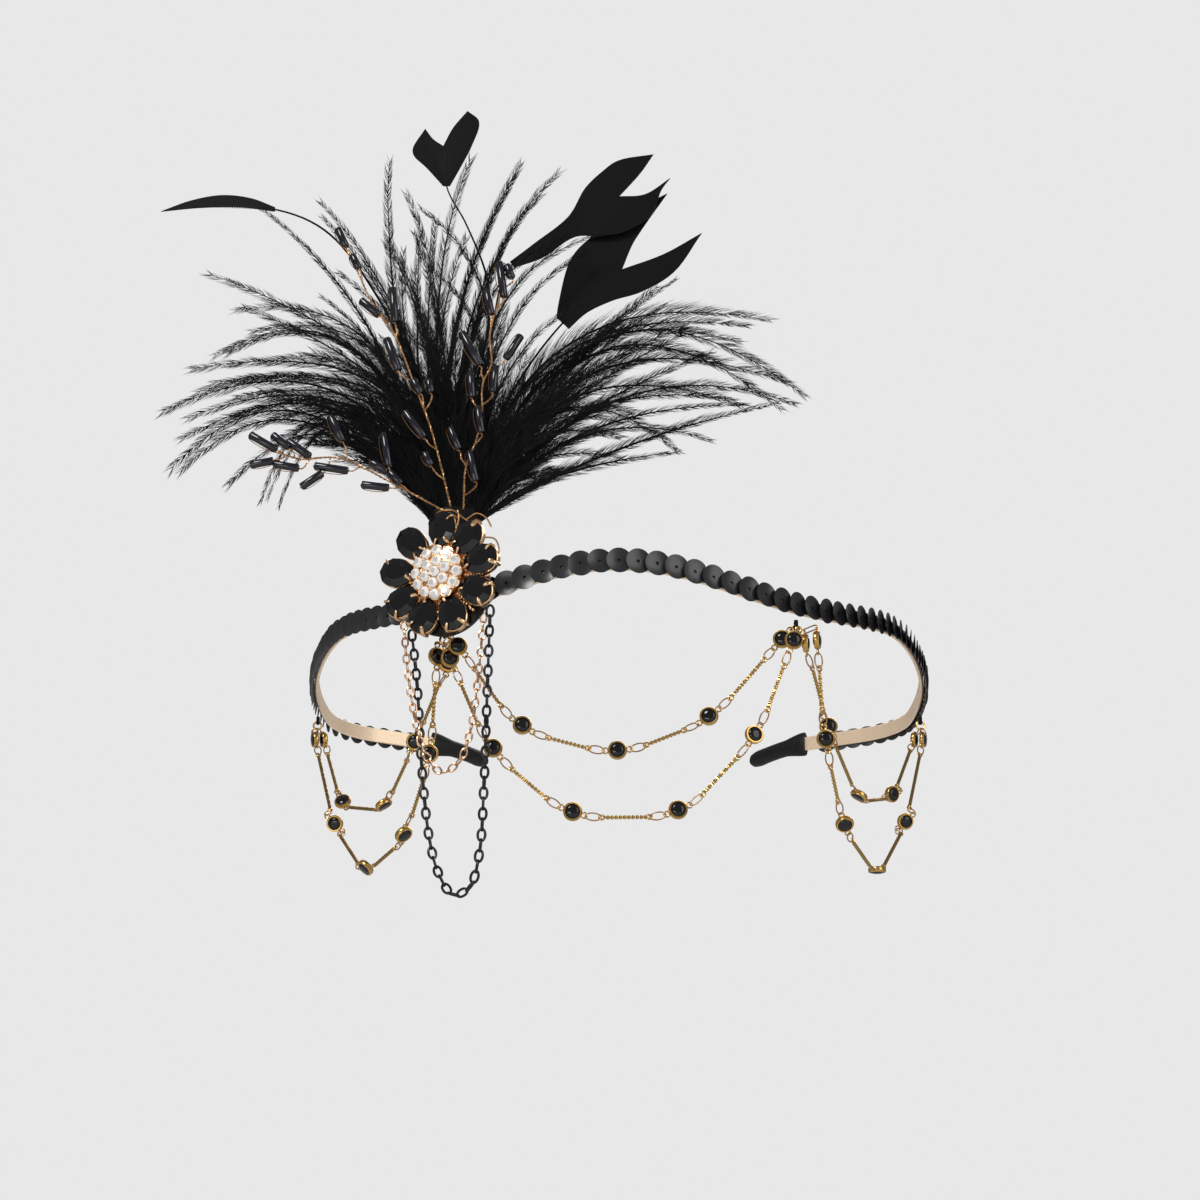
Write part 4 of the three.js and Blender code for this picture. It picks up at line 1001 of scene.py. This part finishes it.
def make_spray(row):
    piece = Piece()
    root = row["root"]
    points = [vec(root[0] + out, SPRAY_ROOT_Y if i == 0 else SPRAY_FRONT_Y, root[1] + up)
              for i, (out, up) in enumerate(row["route"])]
    stem = Line(through(points, 120))
    twisted(piece, stem, 0.13, 0.15, 2.2, 5)
    for bead in row["beads"]:
        run = stem.length * bead["at"]
        way = stem.way(run)
        across = unit(vec(way[2], 0, -way[0]))
        start = stem.place(run) + across * bead["off"]
        start[1] = SPRAY_FRONT_Y
        aim = math.radians(bead["aim"])
        along = vec(math.sin(aim), 0, math.cos(aim))
        far = start + along * bead["length"]
        r = BUGLE_RADIUS
        long = bead["length"]
        lathe(piece, [(r * 0.5, 0.0), (r * 0.85, 0), (r, 0.2), (r, long - 0.2), (r * 0.85, long),
                      (r * 0.5, long)],
              start, along, 8, 1, True, True)
        fork = stem.place(max(0.0, run - 0.05 * stem.length))
        near = start - along * 0.8
        twig = Line(through([fork, (fork + near) / 2 + across * 0.15 * bead["off"], near, start], 16))
        twisted(piece, twig, 0.11, 0.12, 1.9, 4)
        tube(piece, [start - along * 0.5, far + along * 0.3], 0.14, 5)
        beside = np.cross(along, (0, 1, 0)) * (BUGLE_RADIUS + 0.05)
        wrap = [start - along * 0.3, start + beside * 0.9 + along * 0.4, far + beside - along * 0.4,
                far + along * 0.3]
        tube(piece, through(wrap, 12), 0.1, 4)
    piece.finish(f"{row['name']}_beads", [COPPER, BUGLE], "black_bugle", [row["name"]])


# Hangers, strands and chains

def make_hanger(row):
    centre = vec(row["x"], row["y"], row["z"])
    piece = Piece()
    oval(piece, centre, vec(1, 0, 0), vec(0, 0, 1), 2 * JUMP_RING_RADIUS + 2 * JUMP_RING_WIRE,
         2 * JUMP_RING_RADIUS + 2 * JUMP_RING_WIRE, JUMP_RING_WIRE, 0, 8, 24)
    piece.finish(f"ring_{row['name']}", [YELLOW_GOLD], "yellow_gold", [f"jump_ring_{row['name']}"])
    under = min((station(r)[0] for r in np.arange(-MOUTH_RUN, MOUTH_RUN, 1)),
                key=lambda p: math.hypot(p[0] - row["x"], p[1] - row["y"]))[2] - SEQUIN_RADIUS
    piece = Piece()
    bottom = row["z"] + JUMP_RING_RADIUS - JUMP_RING_WIRE - 0.5
    top = under - 0.35
    for shift, lean in ((-0.25, 6), (0.05, -5), (0.3, 0)):
        across = turned_about(vec(0, 1, 0), vec(0, 0, 1), lean)
        oval(piece, vec(row["x"] + shift, row["y"], (top + bottom) / 2), vec(0, 0, 1), across,
             top - bottom + 2 * THREAD_RADIUS, 1.9, THREAD_RADIUS, 0, 6, 20)
    piece.finish(f"sewing_{row['name']}", [THREAD], "black_thread", [f"thread_{row['name']}"])


def add_bezel(piece, centre, facing, along):
    """A round domed black stone in a slim gold rim, the same on both faces, with a loop at each end."""
    facing = unit(facing)
    along = unit(along - facing * np.dot(along, facing))
    r = BEZEL_RADIUS
    lathe(piece, [(r - 0.48, -0.62), (r - 0.16, -0.64), (r, -0.34), (r, 0.34), (r - 0.16, 0.64),
                  (r - 0.48, 0.62),
                  (r - 0.56, 0.2), (r - 0.56, -0.2)], centre, facing, 32, 0, True, True)
    q, half = r - 0.52, BEZEL_DEPTH / 2
    lathe(piece, [(q * 0.3, -half), (q * 0.66, -half * 0.92), (q * 0.93, -half * 0.66), (q, -0.2), (q, 0.2),
                  (q * 0.93, half * 0.66), (q * 0.66, half * 0.92), (q * 0.3, half)], centre, facing, 24, 1)
    hooks = []
    for end in (-1, 1):
        loop = centre + along * end * (r + 0.6)
        oval(piece, loop, along, np.cross(along, facing), 1.7, 1.7, 0.2, 0, 6, 14)
        hooks.append(centre + along * end * (r + 0.95))
    return hooks


def add_bar(piece, start, end, facing):
    """A twisted bar with an eye at each end, between two places."""
    way = unit(end - start)
    long = np.linalg.norm(end - start)
    flat = unit(np.cross(way, facing))
    for spot, turn in ((start, 1), (end, -1)):
        oval(piece, spot + way * turn * 0.6, way, flat, 1.7, 1.5, 0.24, 0, 6, 14)
    run = np.linspace(1.3, long - 1.3, 60)
    roll = run / 1.9 * 2 * np.pi
    up = np.cross(way, flat)
    first = flat * np.cos(roll)[:, None] + up * np.sin(roll)[:, None]
    second = np.cross(way, first)
    rings = []
    for a, b in ((0.46, 0.16), (-0.46, 0.16), (-0.46, -0.16), (0.46, -0.16)):
        rings.append(start + way * run[:, None] + first * a + second * b)
    loft(piece, np.stack(rings, axis=1), 0, False)


def add_link(piece, start, end, twist):
    """A wide oval link from one place to another, a little longer than the way between them."""
    way = unit(end - start)
    flat = unit(np.cross(way, turned_about(vec(0, -1, 0.2), way, twist)))
    long = max(2.3, np.linalg.norm(end - start) + 0.55)
    ellipse(piece, (start + end) / 2, way, flat, long, 2.1, 0.17, 2)


def make_strand(row, rings):
    piece = Piece()
    start, end = vec(*row["from"]), vec(*row["to"])
    spots = [start]
    for at, z in row["stones"]:
        spot = start + (end - start) * at
        spot[2] = z
        spots.append(spot)
    spots.append(end)
    line = Line(through(spots, 60 * (len(spots) - 1)))
    runs = [line.run_at(i / (len(spots) - 1)) for i in range(len(spots))]
    hooks = []
    for spot, run, (across, tilt) in zip(spots, runs, row["faces"]):
        turn, rise = math.radians(across), math.radians(tilt)
        facing = vec(math.sin(turn) * math.cos(rise), -math.cos(turn) * math.cos(rise), math.sin(rise))
        hooks.append(add_bezel(piece, spot, facing, line.way(run)))
    for i in range(len(spots) - 1):
        a, b = runs[i], runs[i + 1]
        margin = min(BAR_MARGIN, (b - a) * 0.3)
        bar_start, bar_end = line.place(a + margin), line.place(b - margin)
        add_bar(piece, bar_start, bar_end, vec(0.3, -0.9, 0.2))
        way = unit(bar_end - bar_start)
        add_link(piece, hooks[i][1], bar_start + way * 0.35, RNG.uniform(-28, 28))
        add_link(piece, hooks[i + 1][0], bar_end - way * 0.35, RNG.uniform(-28, 28))
    for spot, (hook, _), ring in zip((start, end), (hooks[0], hooks[-1][::-1]), row["rings"]):
        up = rings[ring] - vec(0, 0, JUMP_RING_RADIUS)
        way = unit(up - hook)
        oval(piece, (hook + up) / 2, way, unit(np.cross(way, vec(0.4, -0.9, 0))),
             np.linalg.norm(up - hook) + 0.5, 1.4, 0.17, 2, 6, 16)
    piece.finish(f"{row['name']}_links", [YELLOW_GOLD, BLACK_STONE, LINK_GOLD], "yellow_gold", [row["name"]],
                 sharp=50)


def make_chain(name, route, look, slot, node, pitch, long, wide, wire):
    piece = Piece()
    line = Line(through(route, 400))
    count = int(line.length / pitch)
    facing = vec(0, -1, 0)
    for i in range(count):
        run = line.length * (i + 0.5) / count
        way = line.way(run)
        flat = unit(np.cross(way, facing))
        flat = turned_about(flat, way, (90 if i % 2 else 0) + RNG.normal(0, 7))
        ellipse(piece, line.place(run), way, flat, long, wide, wire)
    piece.finish(name, [look], slot, [node])


make_strip()
make_sequins()
make_tip(-1, "tip_left")
make_tip(1, "tip_right")
make_disc()
make_setting()
make_petals()
make_cluster()
make_plume()
for feather in CUT_FEATHERS:
    make_cut_feather(feather)
for spray in SPRAYS:
    make_spray(spray)
ring_places = {row["name"]: vec(row["x"], row["y"], row["z"]) for row in HANGERS}
for hanger in HANGERS:
    make_hanger(hanger)
for strand in STRANDS:
    make_strand(strand, ring_places)
make_chain("black_links", BLACK_CHAIN_ROUTE, BLACK_METAL, "black_metal", "chain_loop_black",
           pitch=2.38, long=3.4, wide=2.3, wire=0.31)
make_chain("rose_links", ROSE_CHAIN_ROUTE, ROSE_GOLD, "rose_gold", "chain_loop_rose",
           pitch=2.0, long=2.85, wide=1.9, wire=0.23)


# Stage, light and camera

def make_floor():
    bpy.ops.mesh.primitive_circle_add(vertices=96, radius=6, fill_type="NGON",
                                      location=(0, 0, -FLOOR_DROP * MM))
    floor = bpy.context.object
    floor.name = "studio_floor"
    floor.data.materials.append(look("pale_floor", (0.78, 0.78, 0.78), 0.7))


def make_light(name, place, aim, size, power):
    data = bpy.data.lights.new(name, "AREA")
    data.shape = "RECTANGLE"
    data.size, data.size_y = size
    data.energy = power
    lamp = bpy.data.objects.new(name, data)
    bpy.context.scene.collection.objects.link(lamp)
    lamp.location = place
    lamp.rotation_mode = "QUATERNION"
    lamp.rotation_quaternion = (Vector(aim) - Vector(place)).to_track_quat("-Z", "Y")
    lamp.visible_camera = False


def make_world():
    world = bpy.data.worlds.new("pale_room")
    bpy.context.scene.world = world
    world.use_nodes = True
    tree = world.node_tree
    back = tree.nodes["Background"]
    back.inputs["Color"].default_value = (0.92, 0.92, 0.92, 1)
    back.inputs["Strength"].default_value = 0.3
    seen = tree.nodes.new("ShaderNodeBackground")
    seen.inputs["Color"].default_value = (PALE, PALE, PALE, 1)
    seen.inputs["Strength"].default_value = 1
    path = tree.nodes.new("ShaderNodeLightPath")
    mix = tree.nodes.new("ShaderNodeMixShader")
    tree.links.new(path.outputs["Is Camera Ray"], mix.inputs["Fac"])
    tree.links.new(back.outputs[0], mix.inputs[1])
    tree.links.new(seen.outputs[0], mix.inputs[2])
    tree.links.new(mix.outputs[0], tree.nodes["World Output"].inputs["Surface"])


def make_camera():
    data = bpy.data.cameras.new("camera")
    data.sensor_width = 36
    data.lens = 36 * FOCAL_PIXELS / PHOTO_WIDTH
    data.shift_x = -ORIGIN_RIGHT / PHOTO_WIDTH
    data.shift_y = ORIGIN_DOWN / PHOTO_WIDTH
    data.clip_start, data.clip_end = 0.01, 20
    camera = bpy.data.objects.new("camera", data)
    bpy.context.scene.collection.objects.link(camera)
    tilt = math.radians(CAMERA_ELEVATION)
    camera.location = (0, -CAMERA_DISTANCE * MM * math.cos(tilt), CAMERA_DISTANCE * MM * math.sin(tilt))
    camera.rotation_euler = (math.radians(90) - tilt, 0, 0)
    bpy.context.scene.camera = camera


make_floor()
make_light("key_soft", (-0.7, -1.1, 0.9), (0, -0.05, 0), (0.45, 0.45), 11)
make_light("fill_soft", (1.0, -1.0, 0.3), (0, -0.05, 0), (0.8, 1.0), 5)
make_light("low_soft", (-0.5, -1.1, -0.42), (-0.04, -0.08, 0), (0.7, 0.7), 5)
make_light("back_soft", (0.3, 1.1, 0.9), (0, 0, 0), (1.2, 0.8), 7)
make_world()
make_camera()

bpy.context.scene.view_settings.view_transform = "Standard"
bpy.context.scene.view_settings.look = "None"
